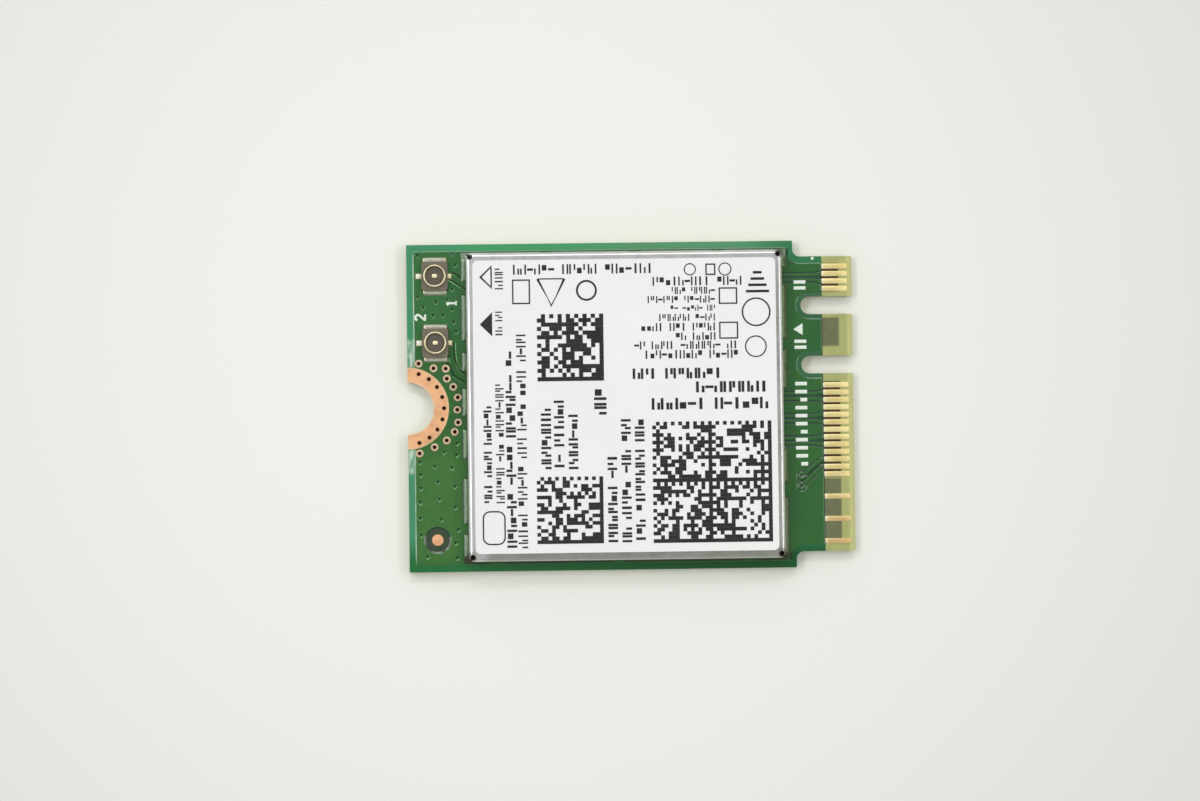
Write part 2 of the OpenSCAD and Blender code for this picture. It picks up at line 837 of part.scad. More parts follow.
module silk_marks() {
    between_ports = (port_at[0] + port_at[1]) / 2;
    between_keys = (pin_y(key_pins[0]) + pin_y(key_pins[1])) / 2;
    color([0.88, 0.95, 0.88]) {
        translate([contact_x - mark_short_l, tongue_w / 2 - mark_dot_inset, top_z + mask_bare_t])
            cylinder(r = mark_dot_r, h = mark_t);
        translate([0, 0, deck_z])
            linear_extrude(mark_t) {
                translate(between_ports + two_at)
                    rotate(90)
                        figure_two();
                translate(between_ports + one_at)
                    rotate(90)
                        figure_one();
                polygon([
                    [step_x, between_keys + triangle_w / 2],
                    [step_x + triangle_l, between_keys],
                    [step_x + triangle_l, between_keys + triangle_w]
                ]);
                for (y = [pin_y(6), pin_y(22)])
                    for (s = [-1, 1])
                        translate([step_x, y + s * mark_gap / 2])
                            square([mark_l, figure_line]);
                for (i = [0:mark_count - 1])
                    translate([step_x + mark_l, pin_y(33) - i * mark_pitch])
                        mirror([1, 0])
                            square([i % 3 == 1 ? mark_short_l : mark_l, figure_line]);
            }
    }
}

// Antenna ports, drawn about their own middle with the board's surface at z = 0

module port_ring_hole() {
    circle(r = port_ring_r - port_ring_wall);
}

// Foot plate with two ground tabs, a side tab and a slot that clears the signal strip
module port_foot_area() {
    tab_l = port_base_l / 2 + port_tab_reach - port_land_margin;
    difference() {
        union() {
            square([port_foot_l, port_foot_w], center = true);
            translate([-tab_l, -port_tab_w / 2 + port_tab_side])
                square([tab_l, port_tab_w - 2 * port_tab_side]);
        }
        port_ring_hole();
        translate([0, -port_slot_w / 2])
            square([port_base_l, port_slot_w]);
    }
}

// The ground ring, on the foot plate: a seat that the base grips, and the barrel that a plug grips
module port_shell(port) {
    bore_r = port_ring_r - port_ring_wall;
    seat_r = port_ring_r - port_ring_seat;
    barrel_z = port_foot_t + port_base_h;
    color([0.84, 0.75, 0.52])
        translate(concat(port_at[port], deck_z)) {
            linear_extrude(port_foot_t)
                port_foot_area();
            rotate_extrude()
                polygon([
                    [bore_r, port_foot_t], [seat_r, port_foot_t], [seat_r, barrel_z],
                    [port_ring_r, barrel_z], [port_ring_r, port_h - port_ring_bevel],
                    [port_ring_r - port_ring_bevel, port_h], [bore_r, port_h]
                ]);
        }
}

// The centre contact: an upright pin on a strip that comes out to its pad
module port_pin_area() {
    intersection() {
        square([port_pin_l, port_pin_w], center = true);
        circle(r = port_pin_l / 2);
    }
}

module port_pin(port) {
    color([0.92, 0.88, 0.63])
        translate(concat(port_at[port], deck_z)) {
            linear_extrude(port_pin_h)
                port_pin_area();
            translate([0, -port_pin_w / 2, 0])
                cube([port_base_l / 2 + port_signal_reach, port_pin_w, port_foot_t]);
        }
}

// The plastic base lies on the foot plate, grips the ring inside and out, and fills the plate's hole and
// slot round the signal strip
module port_base(port) {
    color([0.42, 0.39, 0.38])
        translate(concat(port_at[port], deck_z)) {
            translate([0, 0, port_foot_t])
                linear_extrude(port_base_h)
                    difference() {
                        square([port_base_l, port_base_w], center = true);
                        difference() {
                            circle(r = port_ring_r - port_ring_seat);
                            port_ring_hole();
                        }
                        port_pin_area();
                    }
            linear_extrude(port_foot_t)
                difference() {
                    union() {
                        port_ring_hole();
                        translate([0, -port_slot_w / 2])
                            square([port_foot_l / 2, port_slot_w]);
                    }
                    translate([0, -port_pin_w / 2])
                        square([port_base_l, port_pin_w]);
                    port_pin_area();
                }
        }
}

module port_1_base() {
    port_base(0);
}

module port_1_shell() {
    port_shell(0);
}

module port_1_pin() {
    port_pin(0);
}

module port_2_base() {
    port_base(1);
}

module port_2_shell() {
    port_shell(1);
}

module port_2_pin() {
    port_pin(1);
}

// Folded sheet

// One wall along Y with a shorter fold on top, its outer face at x = 0 and its foot at z = 0
module folded_wall(wall_l, fold_l, h, t, r) {
    rotate([90, 0, 0]) {
        linear_extrude(wall_l, center = true)
            translate([-t, 0])
                square([t, h - t - r]);
        linear_extrude(fold_l, center = true)
            translate([-t - r, h - t - r])
                intersection() {
                    difference() {
                        circle(r = t + r);
                        circle(r = r);
                    }
                    square(t + r);
                }
    }
}

// A cover folded from one sheet, with its foot at z = 0, a slit at each corner and a relief hole where two
// folds meet
module folded_cover(l, w, h, t, r) {
    flat_l = l - 2 * (t + r);
    flat_w = w - 2 * (t + r);
    difference() {
        union() {
            translate([0, 0, h - t])
                linear_extrude(t)
                    square([flat_l, flat_w], center = true);
            for (turn = [0, 180]) {
                rotate(turn)
                    translate([l / 2, 0, 0])
                        folded_wall(w - 2 * (t + corner_gap), flat_w - 2 * corner_gap, h, t, r);
                rotate(turn + 90)
                    translate([w / 2, 0, 0])
                        folded_wall(l - 2 * (t + corner_gap), flat_l - 2 * corner_gap, h, t, r);
            }
        }
        for (sx = [-1, 1])
            for (sy = [-1, 1])
                translate([sx * flat_l / 2, sy * flat_w / 2, h - t - r])
                    cylinder(r = relief_r, h = t + r + cut);
    }
}

// Places of the snap dimples on the four walls, with +X pointing out of the wall
module at_dimples(l, w) {
    for (turn = [0, 180])
        for (d = dimple_at) {
            rotate(turn)
                translate([l / 2, d, 0])
                    children();
            rotate(turn + 90)
                translate([w / 2, d, 0])
                    children();
        }
}

module shield_lid() {
    lid_h = shield_h - lid_lift;
    dimple_z = lid_h - dimple_drop;
    ball_x = -lid_t - dimple_depth + dimple_r;
    color([0.72, 0.72, 0.72])
        translate([shield_x, 0, lid_top_z - lid_h])
            difference() {
                union() {
                    folded_cover(shield_l, shield_w, lid_h, lid_t, lid_fold_r);
                    at_dimples(shield_l, shield_w)
                        translate([0, 0, dimple_z])
                            intersection() {
                                translate([ball_x, 0, 0])
                                    sphere(r = dimple_r);
                                translate([-2 * dimple_r - lid_t / 2, -dimple_r, -dimple_r])
                                    cube(2 * dimple_r);
                            }
                }
                at_dimples(shield_l, shield_w)
                    translate([ball_x, 0, dimple_z])
                        sphere(r = dimple_r - lid_t / 2);
            }
}

// The frame: a folded fence with a flange, cross bars and a lifting pad, snap holes and foot arches
module shield_frame() {
    flat_l = frame_l - 2 * (frame_t + frame_fold_r);
    flat_w = frame_w - 2 * (frame_t + frame_fold_r);
    color([0.68, 0.68, 0.66])
        translate([shield_x, 0, deck_z])
            difference() {
                folded_cover(frame_l, frame_w, frame_h, frame_t, frame_fold_r);
                translate([0, 0, frame_h - frame_t - cut])
                    linear_extrude(frame_t + 2 * cut)
                        difference() {
                            square([flat_l - 2 * flange_w, flat_w - 2 * flange_w], center = true);
                            square([flat_l, bar_w], center = true);
                            square([bar_w, flat_w], center = true);
                            circle(d = pad_d);
                        }
                at_dimples(frame_l, frame_w)
                    translate([-frame_t - cut, 0, shield_h - dimple_drop])
                        rotate([0, 90, 0])
                            cylinder(r = frame_hole_r, h = frame_t + 2 * cut);
                translate([-shield_x, 0, -cut])
                    linear_extrude(arch_h + cut)
                        wall_breaks(break_depth);
            }
}

// Label and its plain print

module rounded_plate(l, w, r) {
    difference() {
        square([l, w]);
        for (sx = [0, 1])
            for (sy = [0, 1])
                translate([sx * l, sy * w])
                    scale([1 - 2 * sx, 1 - 2 * sy])
                        difference() {
                            translate([-cut, -cut])
                                square(r + cut);
                            translate([r, r])
                                circle(r = r);
                        }
    }
}

module label() {
    color([0.95, 0.95, 0.94])
        translate([label_x, label_y, lid_top_z])
            linear_extrude(label_t)
                rounded_plate(label_l, label_w, label_r);
}

// A code's place: two solid edges, and inside them a checker of plain squares
module code_patch(side, edge) {
    cells = 7;
    cell = (side - edge) / cells;
    cell_gap = cell / 5;
    translate([side - edge, 0])
        square([edge, side]);
    square([side, edge]);
    for (i = [0:cells - 1])
        for (j = [0:cells - 1])
            if ((i * i + 3 * j + i * j) % 5 < 2)
                translate([i * cell + cell_gap / 2, edge + j * cell + cell_gap / 2])
                    square(cell - cell_gap);
}

module port_triangle(filled) {
    side = 1.6;
    depth = 0.85;
    rim = 0.12;
    difference() {
        polygon([[0, 0], [depth, -side / 2], [depth, side / 2]]);
        if (!filled)
            polygon([
                [2 * rim, 0], [depth - rim, -side / 2 + 2.4 * rim], [depth - rim, side / 2 - 2.4 * rim]
            ]);
    }
}

module label_print() {
    color([0.2, 0.2, 0.21])
        translate([label_x, label_y, lid_top_z + label_t])
            linear_extrude(ink_t)
                scale(print_scale) {
                    for (r = upright_rows)
                        translate([r[0], r[1]])
                            square([r[3], r[2]]);
                    for (r = level_rows)
                        translate([r[0] - r[2], r[1]])
                            square([r[2], r[3]]);
                    for (c = code_patches)
                        translate([c[0], c[1]])
                            code_patch(c[2], c[3]);
                    for (t = port_triangles)
                        translate([triangle_at, t[0]])
                            port_triangle(t[1]);
                    for (s = ring_signs)
                        translate([s[0], s[1]])
                            difference() {
                                circle(r = s[2]);
                                circle(r = s[2] - sign_line);
                            }
                    for (s = box_signs)
                        translate([s[0], s[1]])
                            difference() {
                                square(s[2], center = true);
                                square(s[2] - 2 * sign_line, center = true);
                            }
                }
}

// Parts under the shield

// Lands along the four sides of a square chip, and a square land under its middle
module chip_lands(side, count, pitch, pad_gap) {
    pad = side - 2 * pad_gap;
    for (turn = [0, 90, 180, 270])
        rotate(turn)
            for (i = [0:count - 1])
                translate([(side - land_l) / 2, (i - (count - 1) / 2) * pitch, solder_t / 2])
                    cube([land_l, land_w, solder_t], center = true);
    translate([0, 0, solder_t / 2])
        cube([pad, pad, solder_t], center = true);
}

// A moulded chip body with a dimple beside its first land
module chip_body(l, w, h) {
    mark_r = 0.18;
    translate([0, 0, solder_t])
        difference() {
            translate([-l / 2, -w / 2, 0])
                cube([l, w, h]);
            translate([-l / 2 + 0.5, w / 2 - 0.5, h - 0.05])
                cylinder(r = mark_r, h = cut);
        }
}

module radio_chip() {
    color([0.15, 0.15, 0.16])
        translate([radio_x, radio_y, deck_z])
            chip_body(radio_side, radio_side, radio_h);
}

module radio_chip_lands() {
    color([0.8, 0.8, 0.78])
        translate([radio_x, radio_y, deck_z])
            chip_lands(radio_side, radio_lands_per_side, radio_land_pitch, radio_pad_gap);
}

module amplifier(i) {
    color([0.17, 0.17, 0.18])
        translate([amplifier_x, amplifier_y[i], deck_z])
            chip_body(amplifier_side, amplifier_side, amplifier_h);
}

module amplifier_low_band() {
    amplifier(0);
}

module amplifier_high_band() {
    amplifier(1);
}

module amplifier_lands() {
    color([0.8, 0.8, 0.78])
        for (y = amplifier_y)
            translate([amplifier_x, y, deck_z])
                chip_lands(amplifier_side, small_lands, amplifier_land_pitch, small_pad_gap);
}

// A two-ended part: its body between two metal ends, and the ends themselves
module part_body(l, w, h, end) {
    translate([-l / 2 + end, -w / 2, 0])
        cube([l - 2 * end, w, h]);
}

module part_ends(l, w, h, end) {
    for (s = [-1, 1])
        translate([s * (l - end) / 2, 0, h / 2])
            cube([end, w, h], center = true);
}

module at_filters() {
    for (y = amplifier_y)
        translate([filter_x, y, deck_z])
            rotate(90)
                children();
}

module band_filters() {
    color([0.75, 0.73, 0.68])
        at_filters()
            part_body(filter_l, filter_w, filter_h, end_l);
}

module band_filter_ends() {
    color([0.82, 0.82, 0.8])
        at_filters()
            part_ends(filter_l, filter_w, filter_h, end_l);
}

module crystal_base() {
    color([0.55, 0.5, 0.45])
        translate([crystal_x - crystal_l / 2, crystal_y - crystal_w / 2, deck_z])
            cube([crystal_l, crystal_w, crystal_h]);
}

module crystal_cap() {
    rim = 0.12;
    color([0.85, 0.82, 0.72])
        translate([crystal_x - crystal_l / 2 + rim, crystal_y - crystal_w / 2 + rim, deck_z + crystal_h])
            linear_extrude(crystal_cap_t)
                rounded_plate(crystal_l - 2 * rim, crystal_w - 2 * rim, 0.25);
}

module power_chip() {
    color([0.16, 0.16, 0.17])
        translate([power_x, power_y, deck_z])
            chip_body(power_side, power_side, power_h);
}

module power_chip_lands() {
    color([0.8, 0.8, 0.78])
        translate([power_x, power_y, deck_z])
            chip_lands(power_side, small_lands, power_land_pitch, small_pad_gap);
}

module at_coils() {
    for (y = coil_y)
        translate([coil_x, y, deck_z])
            children();
}

module power_coils() {
    color([0.35, 0.34, 0.34])
        at_coils()
            part_body(coil_l, coil_w, coil_h, end_l);
}

module power_coil_ends() {
    color([0.82, 0.82, 0.8])
        at_coils()
            part_ends(coil_l, coil_w, coil_h, end_l);
}

module memory_chip() {
    color([0.16, 0.16, 0.17])
        translate([memory_x, memory_y, deck_z])
            chip_body(memory_w, memory_l, memory_h);
}

// Lands along the memory chip's two long sides
module memory_chip_lands() {
    color([0.8, 0.8, 0.78])
        translate([memory_x, memory_y, deck_z])
            for (s = [-1, 1])
                for (i = [0:small_lands - 1])
                    translate([
                        s * (memory_w - land_l) / 2,
                        (i - (small_lands - 1) / 2) * memory_land_pitch,
                        solder_t / 2
                    ])
                        cube([land_l, land_w, solder_t], center = true);
}

// Small capacitors stand in rows along the radio chip, each pointing at it
module at_bypass() {
    for (turn = [0, 90, 180, 270])
        for (i = [0:bypass_per_side - 1])
            translate([radio_x, radio_y, deck_z])
                rotate(turn)
                    translate([
                        radio_side / 2 + bypass_gap + small_l / 2,
                        (i - (bypass_per_side - 1) / 2) * small_pitch,
                        0
                    ])
                        children();
}

module bypass_capacitors() {
    color([0.66, 0.53, 0.38])
        at_bypass()
            part_body(small_l, small_w, small_w, small_end_l);
}

module bypass_capacitor_ends() {
    color([0.82, 0.82, 0.8])
        at_bypass()
            part_ends(small_l, small_w, small_w, small_end_l);
}

module at_supply() {
    for (i = [0:supply_count - 1])
        translate([supply_x, supply_y - i * (supply_w + row_gap), deck_z])
            children();
}

module supply_capacitors() {
    color([0.66, 0.53, 0.38])
        at_supply()
            part_body(supply_l, supply_w, supply_w, end_l);
}

module supply_capacitor_ends() {
    color([0.82, 0.82, 0.8])
        at_supply()
            part_ends(supply_l, supply_w, supply_w, end_l);
}

module at_resistors() {
    for (i = [0:resistor_count - 1])
        translate([resistor_x, resistor_y + i * (small_w + row_gap), deck_z])
            children();
}

module resistors() {
    color([0.12, 0.12, 0.13])
        at_resistors()
            part_body(small_l, small_w, resistor_h, small_end_l);
}

module resistor_ends() {
    color([0.82, 0.82, 0.8])
        at_resistors()
            part_ends(small_l, small_w, resistor_h, small_end_l);
}

circuit_board();
solder_mask_top();
solder_mask_bottom();
top_edge_contacts();
bottom_edge_contacts();
screw_ring_top();
screw_ring_bottom();
ring_via_sleeves();
stitch_via_sleeves();
fiducial_dot();
test_pads();
shield_lands();
port_lands();
silk_marks();
port_1_base();
port_1_shell();
port_1_pin();
port_2_base();
port_2_shell();
port_2_pin();
shield_frame();
shield_lid();
label();
label_print();
radio_chip();
radio_chip_lands();
amplifier_low_band();
amplifier_high_band();
amplifier_lands();
band_filters();
band_filter_ends();
crystal_base();
crystal_cap();
power_chip();
power_chip_lands();
power_coils();
power_coil_ends();
memory_chip();
memory_chip_lands();
bypass_capacitors();
bypass_capacitor_ends();
supply_capacitors();
supply_capacitor_ends();
resistors();
resistor_ends();
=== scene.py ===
"""Looks of a laptop radio card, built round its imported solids. Sizes are in millimetres unless said."""

import json
import math
import random

import bmesh
import bpy
from mathutils import Matrix, Vector


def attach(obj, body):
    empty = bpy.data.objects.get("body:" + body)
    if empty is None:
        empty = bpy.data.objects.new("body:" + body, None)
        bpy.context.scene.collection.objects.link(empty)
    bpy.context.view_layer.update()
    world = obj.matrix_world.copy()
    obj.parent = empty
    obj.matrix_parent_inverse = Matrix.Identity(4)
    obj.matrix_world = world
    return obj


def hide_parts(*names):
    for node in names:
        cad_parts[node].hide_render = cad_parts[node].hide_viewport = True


MM = 0.001
scene = bpy.context.scene
scene.view_settings.view_transform = "Standard"

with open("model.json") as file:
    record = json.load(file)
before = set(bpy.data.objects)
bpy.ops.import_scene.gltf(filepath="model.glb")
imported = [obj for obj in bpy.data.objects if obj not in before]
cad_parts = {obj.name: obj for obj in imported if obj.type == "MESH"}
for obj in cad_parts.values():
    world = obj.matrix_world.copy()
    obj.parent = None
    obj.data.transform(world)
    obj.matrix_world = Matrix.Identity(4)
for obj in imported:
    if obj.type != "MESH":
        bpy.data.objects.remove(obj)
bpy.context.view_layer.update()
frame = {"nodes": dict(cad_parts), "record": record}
nodes = frame["nodes"]

# Camera, nearly straight above the card

lens = bpy.data.cameras.new("camera")
lens.lens = 100
lens.sensor_width = 36
lens.clip_start = 0.001
lens.clip_end = 10
camera = bpy.data.objects.new("camera", lens)
scene.collection.objects.link(camera)
camera.matrix_world = Matrix.Translation(Vector((-6.6012, -6.4282, 224.8016)) * MM) @ Matrix((
    (0.999716, 0.012771, -0.020132, 0),
    (-0.01338, 0.999449, -0.030391, 0),
    (0.019732, 0.030652, 0.999335, 0),
    (0, 0, 0, 1),
))
scene.camera = camera

# Heights of upper faces: laminate, lacquer beside and over the copper, ports' foot, lid and label
TOP = 0.77
BARE = 0.80
DECK = 0.82
PORT_FOOT = DECK + 0.1
LID_TOP = 2.17
LABEL_TOP = 2.25

# Thickness of the contacts and of the print, width of its plain lines, and distance between contacts
FOIL = 0.04
INK = 0.015
SIGN_LINE = 0.09
PITCH = 0.5

# Corners closer than this, in metres, lie at one height
LEVEL = 1e-7

# The contacts' numbers, and the middles of the screw notch, the ports and the aiming mark
MIDDLE_CONTACT = 38
TOP_CONTACTS = [1, 3, 5, 7, 33, 35, 37, 39, 41, 43, 45, 47, 49, 51, 53, 55, 57, 63, 69, 75]
UNDER_CONTACTS = [2, 4, 6, 16, 18, 20, 22] + list(range(32, 75, 2))
NOTCH = (-15, 0)
PORTS = [(-13.1, 8.88), (-13.1, 4.38)]
FIDUCIAL = (-13.1, -8.85)


def contact_y(number):
    return (MIDDLE_CONTACT - number) * PITCH / 2


# Effects that several finishes share

def effect(name, takes, gives):
    """An empty node group with its inputs and outputs."""
    group = bpy.data.node_groups.new(name, "ShaderNodeTree")
    for label, kind, value in takes:
        socket = group.interface.new_socket(label, in_out="INPUT", socket_type=kind)
        if value is not None:
            socket.default_value = value
    for label, kind in gives:
        group.interface.new_socket(label, in_out="OUTPUT", socket_type=kind)
    return group, group.nodes.new("NodeGroupInput"), group.nodes.new("NodeGroupOutput")


def place_effect():
    """Where a point lies on the card, in millimetres."""
    group, _, out = effect(
        "place_on_card", [],
        [("Place", "NodeSocketVector")] + [(axis, "NodeSocketFloat") for axis in "XYZ"])
    where = group.nodes.new("ShaderNodeTexCoord")
    scale = group.nodes.new("ShaderNodeVectorMath")
    scale.operation = "SCALE"
    scale.inputs["Scale"].default_value = 1 / MM
    parts = group.nodes.new("ShaderNodeSeparateXYZ")
    link = group.links.new
    link(where.outputs["Object"], scale.inputs[0])
    link(scale.outputs[0], parts.inputs[0])
    link(scale.outputs[0], out.inputs["Place"])
    for axis in "XYZ":
        link(parts.outputs[axis], out.inputs[axis])
    return group


def grain_effect():
    """Soft mottling of a given size: a tone from 0 to 1, and the same as a height."""
    group, given, out = effect(
        "fine_grain",
        [("Place", "NodeSocketVector", None), ("Size", "NodeSocketFloat", 0.2),
         ("Stretch", "NodeSocketVector", (1, 1, 1))],
        [("Tone", "NodeSocketFloat"), ("Height", "NodeSocketFloat")])
    shape = group.nodes.new("ShaderNodeVectorMath")
    shape.operation = "MULTIPLY"
    shrink = group.nodes.new("ShaderNodeMath")
    shrink.operation = "DIVIDE"
    shrink.inputs[0].default_value = 1
    noise = group.nodes.new("ShaderNodeTexNoise")
    noise.inputs["Detail"].default_value = 3
    noise.inputs["Roughness"].default_value = 0.55
    spread = group.nodes.new("ShaderNodeMapRange")
    spread.inputs["From Min"].default_value = 0.3
    spread.inputs["From Max"].default_value = 0.7
    link = group.links.new
    link(given.outputs["Place"], shape.inputs[0])
    link(given.outputs["Stretch"], shape.inputs[1])
    link(given.outputs["Size"], shrink.inputs[1])
    link(shape.outputs[0], noise.inputs["Vector"])
    link(shrink.outputs[0], noise.inputs["Scale"])
    link(noise.outputs["Fac"], spread.inputs["Value"])
    link(spread.outputs["Result"], out.inputs["Tone"])
    link(noise.outputs["Fac"], out.inputs["Height"])
    return group


def scuff_effect():
    """Thin rubbed lines along one direction, as a mask."""
    group, given, out = effect(
        "fine_scuffs",
        [("Place", "NodeSocketVector", None), ("Stretch", "NodeSocketVector", (1, 12, 1)),
         ("Amount", "NodeSocketFloat", 0.4)],
        [("Mask", "NodeSocketFloat")])
    shape = group.nodes.new("ShaderNodeVectorMath")
    shape.operation = "MULTIPLY"
    noise = group.nodes.new("ShaderNodeTexNoise")
    noise.inputs["Scale"].default_value = 1.6
    noise.inputs["Detail"].default_value = 5
    spread = group.nodes.new("ShaderNodeMapRange")
    spread.inputs["From Min"].default_value = 0.52
    spread.inputs["From Max"].default_value = 0.68
    amount = group.nodes.new("ShaderNodeMath")
    amount.operation = "MULTIPLY"
    link = group.links.new
    link(given.outputs["Place"], shape.inputs[0])
    link(given.outputs["Stretch"], shape.inputs[1])
    link(shape.outputs[0], noise.inputs["Vector"])
    link(noise.outputs["Fac"], spread.inputs["Value"])
    link(spread.outputs["Result"], amount.inputs[0])
    link(given.outputs["Amount"], amount.inputs[1])
    link(amount.outputs[0], out.inputs["Mask"])
    return group


PLACE = place_effect()
GRAIN = grain_effect()
SCUFFS = scuff_effect()


class Finish:
    """A material while it is made: its shader, and where on the card a point lies."""

    def __init__(self, name, roughness=0.5, metallic=0.0, specular=None):
        self.material = bpy.data.materials.new(name)
        self.material.use_nodes = True
        self.tree = self.material.node_tree
        self.shader = self.tree.nodes["Principled BSDF"]
        self.shader.inputs["Roughness"].default_value = roughness
        self.shader.inputs["Metallic"].default_value = metallic
        if specular is not None:
            self.shader.inputs["Specular IOR Level"].default_value = specular
        place = self.tree.nodes.new("ShaderNodeGroup")
        place.node_tree = PLACE
        self.place = place.outputs["Place"]
        self.x, self.y, self.z = (place.outputs[axis] for axis in "XYZ")

    def give(self, socket, value):
        if isinstance(value, bpy.types.NodeSocket):
            self.tree.links.new(value, socket)
        elif isinstance(value, tuple) and len(value) == 3 and socket.type == "RGBA":
            socket.default_value = (*value, 1)
        else:
            socket.default_value = value

    def calc(self, operation, first, second=0.0):
        node = self.tree.nodes.new("ShaderNodeMath")
        node.operation = operation
        self.give(node.inputs[0], first)
        self.give(node.inputs[1], second)
        return node.outputs[0]

    def rise(self, value, low, high, bottom=0.0, top=1.0):
        """A smooth step that goes from bottom at low to top at high."""
        node = self.tree.nodes.new("ShaderNodeMapRange")
        node.interpolation_type = "SMOOTHSTEP"
        self.give(node.inputs["Value"], value)
        node.inputs["From Min"].default_value = low
        node.inputs["From Max"].default_value = high
        node.inputs["To Min"].default_value = bottom
        node.inputs["To Max"].default_value = top
        return node.outputs["Result"]

    def between(self, value, low, high, soft):
        """A band from low to high with soft edges."""
        starts = self.rise(value, low - soft, low + soft)
        return self.calc("MULTIPLY", starts, self.rise(value, high + soft, high - soft))

    def field(self, x, y, soft):
        """A soft-edged rectangle on the card."""
        return self.calc("MULTIPLY", self.between(self.x, *x, soft), self.between(self.y, *y, soft))

    def reach(self, at):
        """Distance from a point of the card, seen from above."""
        dx = self.calc("SUBTRACT", self.x, at[0])
        dy = self.calc("SUBTRACT", self.y, at[1])
        square = self.calc("ADD", self.calc("MULTIPLY", dx, dx), self.calc("MULTIPLY", dy, dy))
        return self.calc("SQRT", square)

    def either(self, *masks):
        """The strongest of several masks."""
        made = masks[0]
        for mask in masks[1:]:
            made = self.calc("MAXIMUM", made, mask)
        return made

    def mix(self, amount, first, second):
        """The first colour where amount is 0, and the second where it is 1."""
        node = self.tree.nodes.new("ShaderNodeMix")
        node.data_type = "RGBA"
        self.give(node.inputs["Factor"], amount)
        self.give([s for s in node.inputs if s.name == "A" and s.type == "RGBA"][0], first)
        self.give([s for s in node.inputs if s.name == "B" and s.type == "RGBA"][0], second)
        return [s for s in node.outputs if s.type == "RGBA"][0]

    def grain(self, size, stretch=(1, 1, 1), output="Tone"):
        node = self.tree.nodes.new("ShaderNodeGroup")
        node.node_tree = GRAIN
        self.give(node.inputs["Place"], self.place)
        node.inputs["Size"].default_value = size
        node.inputs["Stretch"].default_value = stretch
        return node.outputs[output]

    def scuffs(self, stretch, amount):
        node = self.tree.nodes.new("ShaderNodeGroup")
        node.node_tree = SCUFFS
        self.give(node.inputs["Place"], self.place)
        node.inputs["Stretch"].default_value = stretch
        node.inputs["Amount"].default_value = amount
        return node.outputs["Mask"]

    def colour(self, value):
        self.give(self.shader.inputs["Base Color"], value)

    def roughness(self, value):
        self.give(self.shader.inputs["Roughness"], value)

    def relief(self, height, depth, strength):
        """Bumps of a depth in millimetres."""
        node = self.tree.nodes.new("ShaderNodeBump")
        node.inputs["Strength"].default_value = strength
        node.inputs["Distance"].default_value = depth * MM
        self.give(node.inputs["Height"], height)
        self.tree.links.new(node.outputs["Normal"], self.shader.inputs["Normal"])


# Finishes

# The shield's corners, with their relief holes
CORNERS = [(-10.83, 10.2), (10.05, 10.15), (-10.85, -10.05), (10.03, -10.05)]
# Near-black painted shade for the corner holes: what shows through them is coloured this dark.
PAINTED_CORNER_SHADE = (0.01, 0.008, 0.006)


def round_notch(reach, degrees):
    """A place on the card given by its distance and angle from the middle of the screw notch."""
    angle = math.radians(degrees)
    return NOTCH[0] + reach * math.cos(angle), NOTCH[1] + reach * math.sin(angle)


# The half ring's outer radius, the holes in it, and those outside it by their angle and distance from it
RING_R = 2.75
RING_HOLES = [round_notch(2.43, 18 * (i - 4)) for i in range(9)]
STITCH_HOLES = [round_notch(RING_R + out, degrees) for degrees, out in (
    (76, 0.36), (57, 0.46), (46, 0.95), (37, 0.55), (25, 0.63), (12, 0.68),
    (-2, 0.57), (-16, 0.75), (-27, 0.76), (-40, 0.62), (-56, 0.40), (-76, 0.36))]


def near(f, places, full, none):
    """A mask round several places: 1 up to the distance full, and 0 from the distance none."""
    return f.either(*(f.rise(f.reach(at), none, full) for at in places))


def laminate_finish():
    """Bare glass-epoxy: olive, with its cloth showing, and a grey copper plane inside the tongue; painted
    light at the thin outer end and painted shade between the contacts.
    """
    f = Finish("bare_laminate", roughness=0.42)
    warp, weft = (f.calc("SINE", f.calc("MULTIPLY", *threads)) for threads in ((f.x, 22), (f.y, 19)))
    cloth = f.calc("MULTIPLY", warp, weft)
    body = f.mix(f.grain(0.9), (0.36, 0.385, 0.13), (0.43, 0.44, 0.165))
    body = f.mix(f.rise(cloth, 0.2, 0.9, 0, 0.18), body, (0.60, 0.60, 0.34))
    # Painted light: the thin outer end paler and yellower, as light shows through it.
    outer_end = f.mix(f.grain(0.6), (0.54, 0.54, 0.215), (0.60, 0.60, 0.26))
    body = f.mix(f.rise(f.x, 14.45, 14.85), body, outer_end)
    # Painted shade: dark brown between the contacts.
    fingers = f.either(f.field((12.5, 14.1), (-4.95, 1.5), 0.08), f.field((12.5, 14.1), (7.55, 9.45), 0.08))
    body = f.mix(fingers, body, (0.05, 0.024, 0.004))
    plane = f.either(
        f.field((12.5, 14.08), (-9.25, -5.05), 0.07), f.field((12.5, 14.08), (3.86, 5.8), 0.1))
    body = f.mix(plane, body, f.mix(f.grain(0.5), (0.125, 0.14, 0.06), (0.16, 0.175, 0.083)))
    opening = f.mix(f.grain(0.3), (0.022, 0.048, 0.022), (0.04, 0.062, 0.03))
    body = f.mix(f.rise(f.reach(FIDUCIAL), 0.86, 0.8), body, opening)
    body = f.mix(f.field((-11.8, 11.2), (-10.8, 10.8), 0.1), body, (0.035, 0.10, 0.03))
    sheets = f.calc("SINE", f.calc("MULTIPLY", f.z, 52))
    edge = f.calc("MULTIPLY", f.between(f.z, 0.07, 0.75, 0.01), f.rise(sheets, 0.55, 0.95, 0, 0.4))
    f.colour(f.mix(edge, body, (0.25, 0.22, 0.07)))
    f.relief(cloth, 0.003, 0.5)
    return f.material


